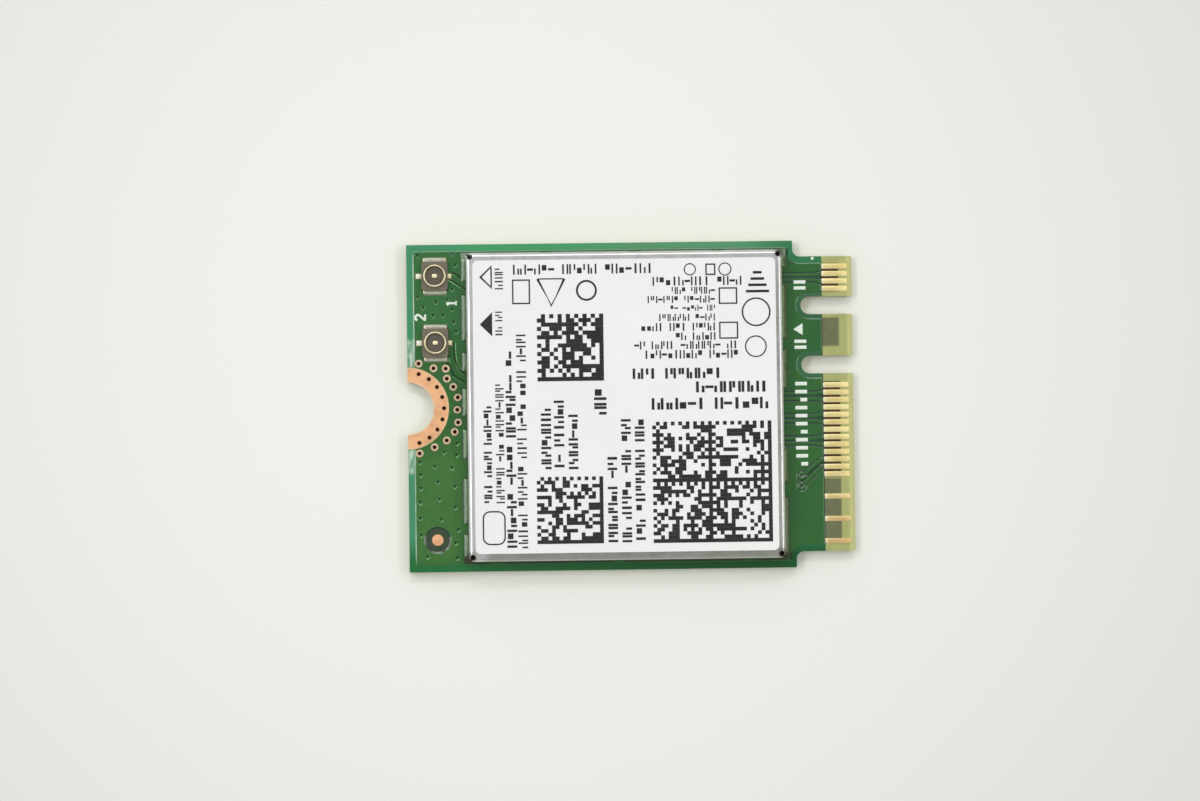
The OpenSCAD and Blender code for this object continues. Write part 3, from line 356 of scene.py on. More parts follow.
def lacquer_tones(f):
    """The lacquer's greens where no copper lies under it, with its margins painted lighter at the left and
    top and darker along the lower edge for the light, and over the copper, and their fine grain.
    """
    clouds = f.grain(2.6)
    fine = f.grain(0.3)
    # Painted light on the bare margins: lighter at the left and top, where the lit side shines through and
    # reflects, darker toward the right end, and painted shade along the lower edge.
    rim = f.mix(f.rise(f.x, -14.4, -9), (0.055, 0.275, 0.13), (0.058, 0.34, 0.14))
    rim = f.mix(f.rise(f.x, -6, 2), rim, (0.095, 0.31, 0.145))
    rim = f.mix(f.rise(f.x, 7, 11.5), rim, (0.026, 0.19, 0.07))
    shaded_lower_rim = f.mix(f.rise(f.x, -12, 8), (0.012, 0.15, 0.035), (0.001, 0.088, 0.012))
    rim = f.mix(f.rise(f.y, -8.5, -10.4), rim, shaded_lower_rim)
    keys = f.either(f.field((10.8, 13.1), (5.7, 7.5), 0.05), f.field((10.8, 13.1), (1.7, 3.55), 0.05))
    rim = f.mix(keys, rim, f.mix(clouds, (0.028, 0.12, 0.045), (0.055, 0.165, 0.08)))
    inner = f.either(f.field((-14.5, 10.7), (-10.46, 10.46), 0.03), f.field((9, 13), (-9.42, 9.42), 0.03))
    gaps = f.calc("MULTIPLY", inner, f.calc("SUBTRACT", 1.0, keys))
    low = f.mix(gaps, rim, (0.007, 0.04, 0.012))
    over = f.mix(clouds, (0.022, 0.125, 0.028), (0.038, 0.15, 0.026))
    over = f.mix(f.field((-14.6, -11.2), (-10.4, -3), 0.8), over, (0.056, 0.18, 0.036))
    over = f.mix(f.field((-14.6, -11.0), (4, 10.4), 0.8), over, (0.035, 0.168, 0.045))
    over = f.mix(f.rise(fine, 0, 1, 0, 0.3), over, (0.02, 0.10, 0.022))
    return low, over, fine


def lacquer_finish():
    """Green lacquer on top: lighter over copper, with painted glare at two places of the screw end and a
    painted highlight along the left edge of its copper, dull on slopes beside the tongue's traces, glinting
    in the screw end's dimples, and with painted shade round the shield's corner holes."""
    f = Finish("green_lacquer", specular=0.6)
    low, over, fine = lacquer_tones(f)
    body = f.mix(f.rise(f.z, BARE + 0.002, DECK - 0.005), low, over)
    # Painted highlight: two pale, streaky patches of glare on the left margin.
    glare_patches = f.either(f.field((-14.97, -14.6), (2.75, 4.6), 0.2), f.field((-14.97, -14.6), (-4.35, -2.75), 0.2))
    blots = f.rise(f.grain(0.5, (2.2, 0.6, 1)), 0.15, 0.75, 0.15, 0.85)
    body = f.mix(f.calc("MULTIPLY", glare_patches, blots), body, (0.66, 0.76, 0.63))
    # Painted highlight: a pale line along the left edge of the copper under the lacquer, where its slope
    # catches the light.
    line = f.calc("MULTIPLY", f.between(f.x, -14.585, -14.52, 0.02), f.between(f.y, -10.3, 10.3, 0.2))
    line = f.calc("MULTIPLY", line, f.rise(f.grain(0.8, (1, 0.5, 1)), 0, 1, 0.35, 0.9))
    body = f.mix(line, body, (0.50, 0.60, 0.50))
    slopes = f.rise(f.z, DECK - 0.0005, DECK - 0.003)
    straight = f.either(f.field((10.2, 12.85), (-3.15, 1.35), 0.1), f.field((10.2, 12.85), (8.0, 9.25), 0.1))
    dull = f.calc("MULTIPLY", straight, slopes)
    body = f.mix(f.calc("MULTIPLY", dull, 0.85), body, (0.0, 0.045, 0.014))
    screw_end = f.field((-14.42, -11.0), (-10.35, 10.35), 0.02)
    dished = f.calc("MULTIPLY", screw_end, f.rise(f.reach(FIDUCIAL), 1.0, 1.05))
    dished = f.calc("MULTIPLY", dished, slopes)
    body = f.mix(dished, body, (0.042, 0.105, 0.042))
    f.give(f.shader.inputs["Metallic"], f.calc("MULTIPLY", dished, 0.85))
    # Painted shade round the shield's corner holes.
    f.colour(f.mix(near(f, CORNERS, 0.12, 0.18), body, PAINTED_CORNER_SHADE))
    f.roughness(f.calc("ADD", f.rise(fine, 0, 1, 0.14, 0.24), f.calc("MULTIPLY", dull, 0.3)))
    f.relief(f.grain(0.45, output="Height"), 0.006, 0.3)
    return f.material


def lacquer_under_finish():
    """The same lacquer on the underside, where the raised copper lies lowest."""
    f = Finish("green_lacquer_under", specular=0.6)
    low, over, fine = lacquer_tones(f)
    f.colour(f.mix(f.rise(f.z, 0.017, 0.004), low, over))
    f.roughness(f.rise(fine, 0, 1, 0.18, 0.3))
    f.relief(f.grain(0.45, output="Height"), 0.006, 0.3)
    return f.material


def metal_finish(name, dark, light, roughness, size, metallic=1.0):
    """Plated metal with a soft drift of tone and a faint grain."""
    f = Finish(name, metallic=metallic)
    tone = f.grain(size)
    f.colour(f.mix(tone, dark, light))
    f.roughness(f.rise(tone, 0, 1, roughness * 0.85, roughness * 1.2))
    f.relief(f.grain(size * 0.4, output="Height"), 0.002, 0.5)
    return f.material


def sheet_finish(name, corner_shade):
    """Nickel-silver sheet, brushed along Y, with painted reflections: lightest at the left, lighter at the
    top and right and on the flat beside the left and upper margins, darker at the lower side; browned by flux
    at three corners, and, inside, with painted shade round the corners where it lies in the holes' shade."""
    f = Finish(name, metallic=1.0)
    tone = f.grain(0.5, (1, 0.25, 1))
    body = f.mix(tone, (0.50, 0.50, 0.49), (0.60, 0.60, 0.59))
    # Painted reflections: lighter at the top and right, darker at the lower side, and lightest at the left.
    body = f.mix(f.rise(f.y, 8.8, 10.2, 0, 0.6), body, (0.64, 0.64, 0.63))
    body = f.mix(f.rise(f.x, 9.2, 10.0, 0, 0.8), body, (0.68, 0.68, 0.66))
    body = f.mix(f.rise(f.y, -8.6, -10.1, 0, 0.85), body, (0.47, 0.48, 0.43))
    body = f.mix(f.rise(f.x, -9.4, -10.6, 0, 0.85), body, (0.80, 0.81, 0.82))
    # Painted highlight on the lid's flat top beside its left and upper margins.
    margins = f.either(f.rise(f.x, -9.4, -10.2), f.rise(f.y, 9.2, 9.8))
    flat = f.calc("MULTIPLY", f.rise(f.z, LID_TOP - 0.012, LID_TOP - 0.002), margins)
    body = f.mix(f.calc("MULTIPLY", flat, 0.6), body, (1.0, 1.0, 0.99))
    scuffs = f.scuffs((0.5, 9, 1), 0.22)
    body = f.mix(scuffs, body, (0.82, 0.82, 0.81))
    # Painted shade round the corners, where the frame lies in the shade of the lid's holes.
    if corner_shade:
        body = f.mix(near(f, CORNERS, 0.35, 0.6), body, PAINTED_CORNER_SHADE)
    else:
        stain = f.calc("MULTIPLY", near(f, CORNERS[1:], 0.2, 0.5), 0.6)
        body = f.mix(stain, body, (0.10, 0.055, 0.035))
    f.colour(body)
    f.roughness(f.calc("ADD", f.rise(tone, 0, 1, 0.27, 0.34), f.calc("MULTIPLY", scuffs, 0.1)))
    f.relief(f.grain(0.2, (1, 0.25, 1), "Height"), 0.0005, 0.3)
    return f.material


def solder_finish():
    """Tinned solder, tinted green as a painted reflection of the lacquer, and painted light: pale at the left
    and upper sides, with a painted shadow beside the left wall, dull at the right with a painted highlight at
    its outer edge, and painted shade at the lower side; brown with flux at three corners, and painted shade
    round the corner holes.
    """
    f = Finish("tinned_solder", metallic=0.55)
    lumps = f.grain(0.25)
    # The solder's green tint is a painted reflection of the lacquer.
    body = f.mix(lumps, (0.17, 0.25, 0.17), (0.30, 0.38, 0.30))
    # Painted shadow beside the lid's left wall.
    body = f.mix(f.rise(f.x, -11.26, -11.14), body, (0.085, 0.13, 0.07))
    # Painted light at the right: dull, with a painted highlight along the outer edge.
    right = f.mix(lumps, (0.085, 0.125, 0.05), (0.15, 0.20, 0.10))
    right = f.mix(f.rise(f.x, 10.5, 10.6), right, (0.27, 0.38, 0.22))
    body = f.mix(f.rise(f.x, 9.5, 10.1), body, right)
    # Painted light along the upper side and painted shade along the lower side.
    body = f.mix(f.rise(f.y, 9.7, 10.2), body, (0.30, 0.40, 0.28))
    body = f.mix(f.rise(f.y, -9.7, -10.2), body, (0.055, 0.085, 0.045))
    flux = f.calc("MULTIPLY", near(f, CORNERS[1:], 0.2, 0.5), 0.7)
    body = f.mix(flux, body, (0.075, 0.045, 0.028))
    # Painted shade round the shield's corner holes.
    f.colour(f.mix(near(f, CORNERS, 0.12, 0.18), body, PAINTED_CORNER_SHADE))
    f.roughness(f.rise(lumps, 0, 1, 0.28, 0.42))
    f.relief(f.grain(0.16, output="Height"), 0.006, 0.5)
    return f.material


def gold_finish():
    """Gold contacts: warmer and darker toward the lower end, with a painted highlight where the lacquer ends,
    wiped along X.
    """
    f = Finish("contact_gold", metallic=0.65)
    tone = f.grain(0.5, (0.35, 1, 1))
    body = f.mix(tone, (1.0, 0.79, 0.31), (1.0, 0.87, 0.42))
    body = f.mix(f.rise(f.y, -3, -10, 0, 0.75), body, (0.74, 0.47, 0.19))
    # Painted highlight at the contacts' inner ends, where the lacquer ends.
    body = f.mix(f.rise(f.x, 13.25, 12.95, 0, 0.85), body, (1.0, 0.93, 0.66))
    body = f.mix(f.rise(f.x, 14.5, 14.7, 0, 0.6), body, (0.78, 0.62, 0.25))
    wipe = f.scuffs((0.6, 14, 1), 0.35)
    f.colour(f.mix(wipe, body, (1.0, 0.90, 0.62)))
    f.roughness(f.rise(tone, 0, 1, 0.28, 0.4))
    f.relief(f.grain(0.12, (0.2, 1, 1), "Height"), 0.002, 0.5)
    return f.material


def copper_finish():
    """Bare copper under a clear preservative: matt, with a paler rim and brown round the drilled holes."""
    f = Finish("bare_copper", metallic=0.7)
    tone = f.grain(0.6)
    body = f.mix(tone, (0.86, 0.46, 0.235), (0.95, 0.55, 0.30))
    away = f.reach(NOTCH)
    rims = f.either(f.rise(away, 2.62, 2.76), f.rise(away, 1.86, 1.75))
    ring = f.rise(away, 3.2, 3.0)
    body = f.mix(f.calc("MULTIPLY", f.calc("MULTIPLY", rims, ring), 0.55), body, (0.90, 0.76, 0.55))
    body = f.mix(near(f, RING_HOLES, 0.13, 0.165), body, (0.20, 0.075, 0.037))
    f.colour(body)
    f.roughness(f.rise(tone, 0, 1, 0.42, 0.58))
    f.relief(f.grain(0.15, output="Height"), 0.003, 0.6)
    return f.material


def plating_finish():
    """Plating of the drilled holes: a pale tinned rim, and dark brown from the hole's edge down as painted
    shade in the holes.
    """
    f = Finish("hole_plating", metallic=0.6)
    tone = f.grain(0.15)
    body = f.mix(tone, (0.70, 0.50, 0.35), (0.84, 0.66, 0.49))
    # Painted shade: the bores, the stitching holes' edges and the notch's inside dark brown, so the holes
    # look dark.
    hole = f.either(
        near(f, STITCH_HOLES, 0.125, 0.16), f.between(f.z, 0.06, TOP - 0.01, 0.01),
        f.rise(f.reach(NOTCH), 2.8, 2.7))
    f.colour(f.mix(hole, body, (0.19, 0.07, 0.035)))
    f.roughness(f.rise(tone, 0, 1, 0.4, 0.55))
    f.relief(f.grain(0.06, output="Height"), 0.002, 0.5)
    return f.material


def moulded_finish(name, dark, light, roughness, size):
    """Moulded, fired or printed surface with a fine matt grain."""
    f = Finish(name)
    tone = f.grain(size)
    f.colour(f.mix(tone, dark, light))
    f.roughness(f.rise(tone, 0, 1, roughness * 0.9, min(1, roughness * 1.15)))
    f.relief(f.grain(size * 0.5, output="Height"), 0.004, 0.6)
    return f.material


def port_moulding_finish():
    """Brown-grey moulding, with painted shade inside the ring."""
    f = Finish("port_moulding")
    tone = f.grain(0.12)
    body = f.mix(tone, (0.14, 0.12, 0.088), (0.185, 0.16, 0.12))
    inside = f.mix(tone, (0.09, 0.077, 0.058), (0.125, 0.108, 0.082))
    # Painted shade: darker inside the ring.
    f.colour(f.mix(near(f, PORTS, 0.6, 0.64), body, inside))
    f.roughness(f.rise(tone, 0, 1, 0.38, 0.48))
    f.relief(f.grain(0.06, output="Height"), 0.004, 0.6)
    return f.material


def port_solder_finish():
    """Solder on the ports' tabs: dull beside the moulding, with a painted highlight on the outer tab."""
    f = Finish("port_solder", metallic=0.5)
    tone = f.grain(0.2)
    body = f.mix(tone, (0.46, 0.47, 0.39), (0.64, 0.65, 0.55))
    # Painted highlight on the outer tab.
    f.colour(f.mix(f.rise(f.x, -13.95, -13.99), body, (0.90, 0.91, 0.80)))
    f.roughness(f.rise(tone, 0, 1, 0.39, 0.55))
    f.relief(f.grain(0.08, output="Height"), 0.005, 0.5)
    return f.material


def paper_finish():
    """Coated label paper: nearly white, with faint fibres."""
    f = Finish("label_paper")
    fibres = f.grain(0.25, (1, 0.4, 1))
    body = f.mix(f.grain(4), (0.865, 0.875, 0.86), (0.905, 0.91, 0.895))
    f.colour(f.mix(f.rise(fibres, 0, 1, 0, 0.12), body, (0.80, 0.81, 0.80)))
    f.roughness(f.rise(fibres, 0, 1, 0.42, 0.56))
    f.relief(f.grain(0.18, (1, 0.5, 1), "Height"), 0.004, 0.4)
    return f.material


def ink_finish():
    """Thermal print: nearly black, with tiny voids where the ribbon missed."""
    f = Finish("label_ink", roughness=0.55, specular=0.3)
    voids = f.rise(f.grain(0.06), 0.8, 1.0, 0, 0.35)
    body = f.mix(f.grain(1.5), (0.012, 0.012, 0.013), (0.026, 0.025, 0.027))
    f.colour(f.mix(voids, body, (0.35, 0.35, 0.36)))
    return f.material


FINISHES = {
    "laminate": laminate_finish(),
    "lacquer": lacquer_finish(),
    "lacquer_under": lacquer_under_finish(),
    "gold": gold_finish(),
    "copper": copper_finish(),
    "plating": plating_finish(),
    "solder": solder_finish(),
    "port_solder": port_solder_finish(),
    "marking": moulded_finish("white_marking", (0.74, 0.82, 0.73), (0.86, 0.92, 0.84), 0.55, 0.1),
    "port_plastic": port_moulding_finish(),
    "port_metal": metal_finish("port_ring_plating", (0.70, 0.61, 0.37), (0.82, 0.74, 0.50), 0.34, 0.25, 0.7),
    "port_contact": metal_finish("port_pin_plating", (0.92, 0.84, 0.50), (1.0, 0.93, 0.62), 0.36, 0.2, 0.5),
    "shield_sheet": sheet_finish("shield_sheet", False),
    "sheet_inside": sheet_finish("sheet_inside", True),
    "label_paper": paper_finish(),
    "label_ink": ink_finish(),
    "chip_mould": moulded_finish("chip_mould", (0.018, 0.018, 0.02), (0.035, 0.035, 0.038), 0.55, 0.08),
    "part_ceramic": moulded_finish("part_ceramic", (0.40, 0.33, 0.24), (0.50, 0.42, 0.32), 0.45, 0.1),
    "part_ferrite": moulded_finish("part_ferrite", (0.03, 0.03, 0.03), (0.06, 0.058, 0.055), 0.6, 0.1),
    "part_ends": metal_finish("part_ends", (0.60, 0.60, 0.58), (0.75, 0.75, 0.72), 0.3, 0.12),
    "crystal_metal": metal_finish("crystal_cap", (0.62, 0.58, 0.45), (0.72, 0.68, 0.55), 0.25, 0.3),
}


# Mesh tools

def block(bm, x, y, z):
    """A block between the given limits."""
    middle = Vector((sum(x), sum(y), sum(z))) * (MM / 2)
    size = Matrix.Diagonal(((x[1] - x[0]) * MM, (y[1] - y[0]) * MM, (z[1] - z[0]) * MM, 1))
    return bmesh.ops.create_cube(bm, size=1, matrix=Matrix.Translation(middle) @ size)["verts"]


def soften(bm, edges, width, segments):
    """Rounds edges, or with one segment cuts them off."""
    bmesh.ops.bevel(
        bm, geom=list(edges), offset=width * MM, affect="EDGES", segments=segments, profile=0.5, material=-1,
        clamp_overlap=True)


def edges_of(verts, z):
    """Edges between the given corners that lie level at height z."""
    corners = {v for v in verts if abs(v.co.z - z * MM) < LEVEL}
    return {e for v in corners for e in v.link_edges if e.other_vert(v) in corners}


def soft_block(bm, x, y, z, width, segments):
    """A block with rounded upper edges."""
    soften(bm, edges_of(block(bm, x, y, z), z[1]), width, segments)


def upright_edges(verts):
    return {
        e for v in verts for e in v.link_edges
        if abs((e.verts[0].co - e.verts[1].co).normalized().z) > 0.99}


def raised(bm, faces, height):
    """Gives flat faces a thickness, upward."""
    up = bmesh.ops.extrude_face_region(bm, geom=faces, use_keep_orig=True)["geom"]
    verts = [g for g in up if isinstance(g, bmesh.types.BMVert)]
    bmesh.ops.translate(bm, verts=verts, vec=Vector((0, 0, height)) * MM)


def turned(bm, section, at, steps):
    """A closed ring turned from a section of (radius, height) points about an upright axis."""
    corners = [bm.verts.new(Vector((at[0] + r, at[1], z)) * MM) for r, z in section]
    outline = [bm.edges.new(ends) for ends in zip(corners, corners[1:] + corners[:1])]
    bmesh.ops.spin(
        bm, geom=corners + outline, cent=Vector((*at, 0)) * MM, axis=(0, 0, 1),
        angle=math.tau, steps=steps, use_merge=True)


def plate(bm, outline, z, height):
    """A flat form with the given outline, raised from z."""
    face = bm.faces.new([bm.verts.new(Vector((x, y, z)) * MM) for x, y in outline])
    face.normal_update()
    if face.normal.z > 0:
        face.normal_flip()
    raised(bm, [face], height)


def finished(bm, name, slot, stands_for=(), smooth=35, closed=True, level=True):
    """Makes the mesh a piece of the card. Edges are sharp from an angle of smooth degrees, closed turns all
    faces outward, and level shades flat faces flat."""
    if closed:
        bmesh.ops.recalc_face_normals(bm, faces=bm.faces)
    for face in bm.faces:
        face.smooth = True
    for edge in bm.edges:
        edge.smooth = edge.calc_face_angle(0) < math.radians(smooth)
    mesh = bpy.data.meshes.new(name)
    bm.to_mesh(mesh)
    bm.free()
    if "custom_normal" in mesh.attributes:
        mesh.attributes.remove(mesh.attributes["custom_normal"])
    mesh.materials.append(FINISHES[slot])
    piece = bpy.data.objects.new(name, mesh)
    scene.collection.objects.link(piece)
    if level:
        normals = piece.modifiers.new("level_faces", "WEIGHTED_NORMAL")
        normals.keep_sharp = True
        normals.weight = 90
    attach(piece, "root")
    if stands_for:
        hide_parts(*stands_for)


def merged_copy(name):
    """A copy of a node's mesh with its corners joined and its flat faces whole."""
    bm = bmesh.new()
    bm.from_mesh(nodes[name].data)
    bmesh.ops.remove_doubles(bm, verts=bm.verts, dist=LEVEL)
    bmesh.ops.dissolve_limit(
        bm, angle_limit=0.002, use_dissolve_boundaries=False, verts=bm.verts, edges=bm.edges)
    return bm


# Pieces of the board

# The lacquer's steps: reach of a slope and of the one round the aiming mark, the widest ring that is a
# dimple's, and a dimple's radius at its floor and rim and its floor's height
SLOPE = 0.058
MARK_SLOPE = 0.14
DIMPLE_SPAN = 0.2
DIMPLE_FLOOR_R = 0.06
DIMPLE_RIM_R = 0.155
DIMPLE_FLOOR = 0.786
# Room for rounding when heights are compared
NEARLY = 0.002


def joined_groups(faces):
    """Groups of faces that share corners."""
    left = set(faces)
    while left:
        group, edge = set(), {left.pop()}
        while edge:
            group |= edge
            edge = {g for f in edge for v in f.verts for g in v.link_faces if g in left}
            left -= edge
        yield group


def turned_over(bm):
    """Corners of level triangles that have come to face down."""
    trial = bm.copy()
    bmesh.ops.triangulate(trial, faces=trial.faces)
    wrong = [
        f for f in trial.faces
        if f.normal.z < -0.5 and min(v.co.z for v in f.verts) > (BARE - 0.02) * MM]
    small = [f for f in wrong if f.calc_area() < 0.1 * MM * MM] or wrong
    corners = {v.index for f in small for v in f.verts}
    trial.free()
    return corners


def lacquer_top():
    """The upper lacquer: its steps drawn out to slopes, and a dimple over each capped hole."""
    bm = merged_copy("solder_mask_top")
    steps = [
        f for f in bm.faces if abs(f.normal.z) < 0.3 and min(v.co.z for v in f.verts) > (BARE - NEARLY) * MM
        and max(v.co.z for v in f.verts) > (DECK - NEARLY) * MM]
    moves = {}
    for group in joined_groups(steps):
        corners = {v for f in group for v in f.verts}
        low = {v for v in corners if v.co.z < (BARE + NEARLY) * MM}
        middle = sum((v.co for v in corners), Vector()) / len(corners)
        if max((v.co - middle).xy.length for v in corners) < DIMPLE_SPAN * MM:
            for v in corners:
                reach, z = (DIMPLE_FLOOR_R, DIMPLE_FLOOR) if v in low else (DIMPLE_RIM_R, DECK)
                out = (v.co - middle).xy.normalized() * reach * MM
                moves[v] = Vector((*(middle.xy + out), z * MM)) - v.co
            continue
        for v in low:
            normals = [f.normal for f in v.link_faces if f in group]
            way = sum(normals, Vector()).normalized()
            move = way * (SLOPE / max(0.5, min(way.dot(n) for n in normals))) * MM
            for f in v.link_faces:
                if f not in group and abs(f.normal.z) < 0.3:
                    move -= f.normal * move.dot(f.normal)
            moves[v] = move
    for v in bm.verts:
        away = v.co.xy - Vector(FIDUCIAL) * MM
        if v.co.z > (DECK - NEARLY) * MM and 0.7 * MM < away.length < 0.85 * MM:
            moves[v] = Vector((*away.normalized(), 0)) * MARK_SLOPE * MM
    bm.verts.index_update()
    for v, move in moves.items():
        v.co += move
    # A move that turned a triangle over is halved, up to 9 times
    for _ in range(9):
        wrong = turned_over(bm)
        if not wrong:
            break
        for v, move in moves.items():
            if v.index in wrong:
                v.co -= move / 2
                moves[v] = move / 2
    finished(bm, "lacquer_top", "lacquer", ["solder_mask_top"], smooth=12, closed=False, level=False)


def contact_fingers(name, numbers, z, outer, node):
    """A row of contacts from height z, with the edges at the height outer rounded."""
    bm = bmesh.new()
    for number in numbers:
        y = contact_y(number)
        verts = block(bm, (12.95, 14.67), (y - 0.175, y + 0.175), (z, z + FOIL))
        soften(bm, edges_of(verts, outer), 0.018, 2)
    finished(bm, name, "gold", [node], smooth=50)


# Height of the printed lines' middle, and their thickness
MARK_Z = DECK + 0.004
MARK_T = 0.03


def stroke(bm, points, width):
    """A printed line of even width along the points, with closed ends."""
    line = bpy.data.curves.new("line", "CURVE")
    line.dimensions = "3D"
    line.bevel_depth = width / 2
    line.bevel_resolution = 2
    line.use_fill_caps = True
    path = line.splines.new("POLY")
    path.points.add(len(points) - 1)
    for p, (x, y) in zip(path.points, points):
        p.co = (x, y, 0, 1)
    holder = bpy.data.objects.new("line", line)
    mesh = bpy.data.meshes.new_from_object(holder)
    flatten = Matrix.Diagonal((MM, MM, MM * MARK_T / width, 1))
    mesh.transform(Matrix.Translation(Vector((0, 0, MARK_Z * MM))) @ flatten)
    bm.from_mesh(mesh)
    bpy.data.objects.remove(holder)
    bpy.data.curves.remove(line)
    bpy.data.meshes.remove(mesh)


def arc(cx, cy, r, start, end, steps):
    angles = [math.radians(start + (end - start) * i / steps) for i in range(steps + 1)]
    return [(cx + r * math.cos(angle), cy + r * math.sin(angle)) for angle in angles]


def upright(points, x, y):
    """Turns a figure's points to stand along -X, with its foot at x."""
    return [(x - up, y + along) for along, up in points]


def printed_marks():
    """White marks: the ports' figures, a triangle between the keys, bars and ticks by the tongue, a dot."""
    bm = bmesh.new()
    two = arc(0.21, 0.48, 0.18, 165, -25, 9) + [(0.04, 0.03), (0.04, 0.0), (0.41, 0.0)]
    stroke(bm, upright(two, -13.77, 5.9), 0.15)
    stem, foot, flag = [(0.0, 0.0), (0.0, 0.64)], [(-0.15, 0.0), (0.15, 0.0)], [(0.0, 0.64), (-0.15, 0.52)]
    for points, width in ((stem, 0.15), (foot, 0.12), (flag, 0.11)):
        stroke(bm, upright(points, -11.68, 7.05), width)
    plate(bm, [(11.0, 5.02), (11.62, 4.63), (11.62, 5.42)], DECK, 0.018)
    for y in (8.2, 7.8, 4.2, 3.8):
        stroke(bm, [(11.06, y), (11.86, y)], 0.22)
    for i in range(11):
        y = 1.35 - 0.54 * i
        stroke(bm, [(11.4 if i % 4 == 2 else 11.06, y), (11.86, y)], 0.24)
    plate(bm, arc(12.35, 9.79, 0.1, 0, 337.5, 15), BARE, 0.012)
    finished(bm, "printed_marks", "marking", ["silk_marks"], closed=False)


# Distances out from the frame's foot and heights, for a fillet that reaches out by 1
FILLET = [(0.0, 0.0), (1.0, 0.0), (0.94, 0.022), (0.72, 0.045), (0.5, 0.08), (0.32, 0.13), (0.0, 0.2)]


def solder_run(bm, start, end, out, reach):
    """A hollow fillet of solder along the frame's foot, as wide as reach, and lower at its two ends."""
    start, end, out = (Vector((*v, 0)) for v in (start, end, out))
    length = (end - start).length
    along = (end - start) / length
    foot = start + Vector((0, 0, DECK - 0.002))
    # Distances along the run, and the share of the full height there
    stops = [(0, 0.4), (0.07, 0.75), (0.2, 1.0), (length - 0.2, 1.0), (length - 0.07, 0.75), (length, 0.4)]
    section = [foot + out * u * reach + Vector((0, 0, h * stops[0][1])) for u, h in FILLET]
    face = bm.faces.new([bm.verts.new(place * MM) for place in section])
    inner = []
    for (before, tall), (after, next_tall) in zip(stops, stops[1:]):
        if before:
            inner.append(face)
        made = bmesh.ops.extrude_face_region(bm, geom=[face], use_keep_orig=True)["geom"]
        verts = [g for g in made if isinstance(g, bmesh.types.BMVert)]
        face = [g for g in made if isinstance(g, bmesh.types.BMFace)][0]
        bmesh.ops.translate(bm, verts=verts, vec=along * (after - before) * MM)
        bmesh.ops.scale(bm, vec=(1, 1, next_tall / tall), verts=verts, space=Matrix.Translation(-foot * MM))
    bmesh.ops.delete(bm, geom=inner, context="FACES_ONLY")


def shield_solder():
    """Solder round the shield's foot, open where traces pass under it."""
    bm = bmesh.new()
    left, right, low, high = -10.84, 10.04, -10.165, 10.165
    # Each wall's line and ends, the way out, the fillet's reach, and its breaks by middle and length
    walls = [
        ((left, low, high), (-1, 0), 0.44,
         [(8.05, 0.9), (4.1, 0.8), (1.9, 1.2), (-1, 0.9), (-4.1, 1.3), (-8.15, 0.7)]),
        ((right, low, high), (1, 0), 0.38, [(8.65, 1.2), (4.05, 0.8), (-0.95, 4.1), (-5.75, 1.1)]),
        ((high, left, right), (0, 1), 0.27, [(-5.6, 0.8), (0.4, 0.8), (6.0, 0.8)]),
        ((low, left, right), (0, -1), 0.27, [(-9.2, 1), (-1.0, 0.8), (7.8, 0.6)]),
    ]
    for (fixed, first, last), out, reach, breaks in walls:
        stops = [first + 0.15]
        for middle, length in sorted(breaks):
            stops += [middle - length / 2 - 0.04, middle + length / 2 + 0.04]
        stops.append(last - 0.15)
        for a, b in zip(stops[::2], stops[1::2]):
            if b - a > 0.5:
                ends = ((fixed, a), (fixed, b)) if out[0] else ((a, fixed), (b, fixed))
                solder_run(bm, *ends, out, reach)
    finished(bm, "shield_solder", "solder", smooth=60)


# Antenna ports

def port_base(index):
    """The moulding: clipped corners, a soft upper edge, a raised floor inside the ring, and a foot."""
    x, y = PORTS[index]
    bm = bmesh.new()
    top = DECK + 0.35
    verts = block(bm, (x - 0.875, x + 0.875), (y - 0.975, y + 0.975), (PORT_FOOT, top))
    soften(bm, upright_edges(verts), 0.13, 1)
    soften(bm, edges_of(bm.verts, top), 0.035, 2)
    block(bm, (x - 0.5, x + 0.775), (y - 0.29, y + 0.29), (DECK, PORT_FOOT))
    section = [
        (0.24, top - 0.01), (0.62, top - 0.01), (0.62, top + 0.03), (0.56, top + 0.045), (0.24, top + 0.02)]
    turned(bm, section, (x, y), 32)
    finished(bm, f"port_{index + 1}_moulding", "port_plastic", [f"port_{index + 1}_base"], smooth=40)


def port_ring(index):
    """The ground ring with a rolled lip and the plug's groove, and its three tabs."""
    x, y = PORTS[index]
    bm = bmesh.new()
    top = DECK + 0.6
    section = [
        (0.64, PORT_FOOT), (0.745, PORT_FOOT), (0.745, DECK + 0.36), (0.75, DECK + 0.38), (0.75, DECK + 0.43),
        (0.725, DECK + 0.455), (0.725, DECK + 0.49), (0.75, DECK + 0.52), (0.75, top - 0.035),
        (0.74, top - 0.012), (0.715, top), (0.675, top), (0.65, top - 0.012), (0.64, top - 0.04)]
    turned(bm, section, (x, y), 64)
    tabs = [((x - 0.775, x + 0.775), sorted((y + side * 0.93, y + side * 1.19))) for side in (-1, 1)]
    for tab in tabs + [((x - 1.235, x - 0.8), (y - 0.18, y + 0.18))]:
        soft_block(bm, *tab, (DECK + 0.005, PORT_FOOT), 0.03, 2)
    finished(bm, f"port_{index + 1}_ring", "port_metal", [f"port_{index + 1}_shell"], smooth=40)


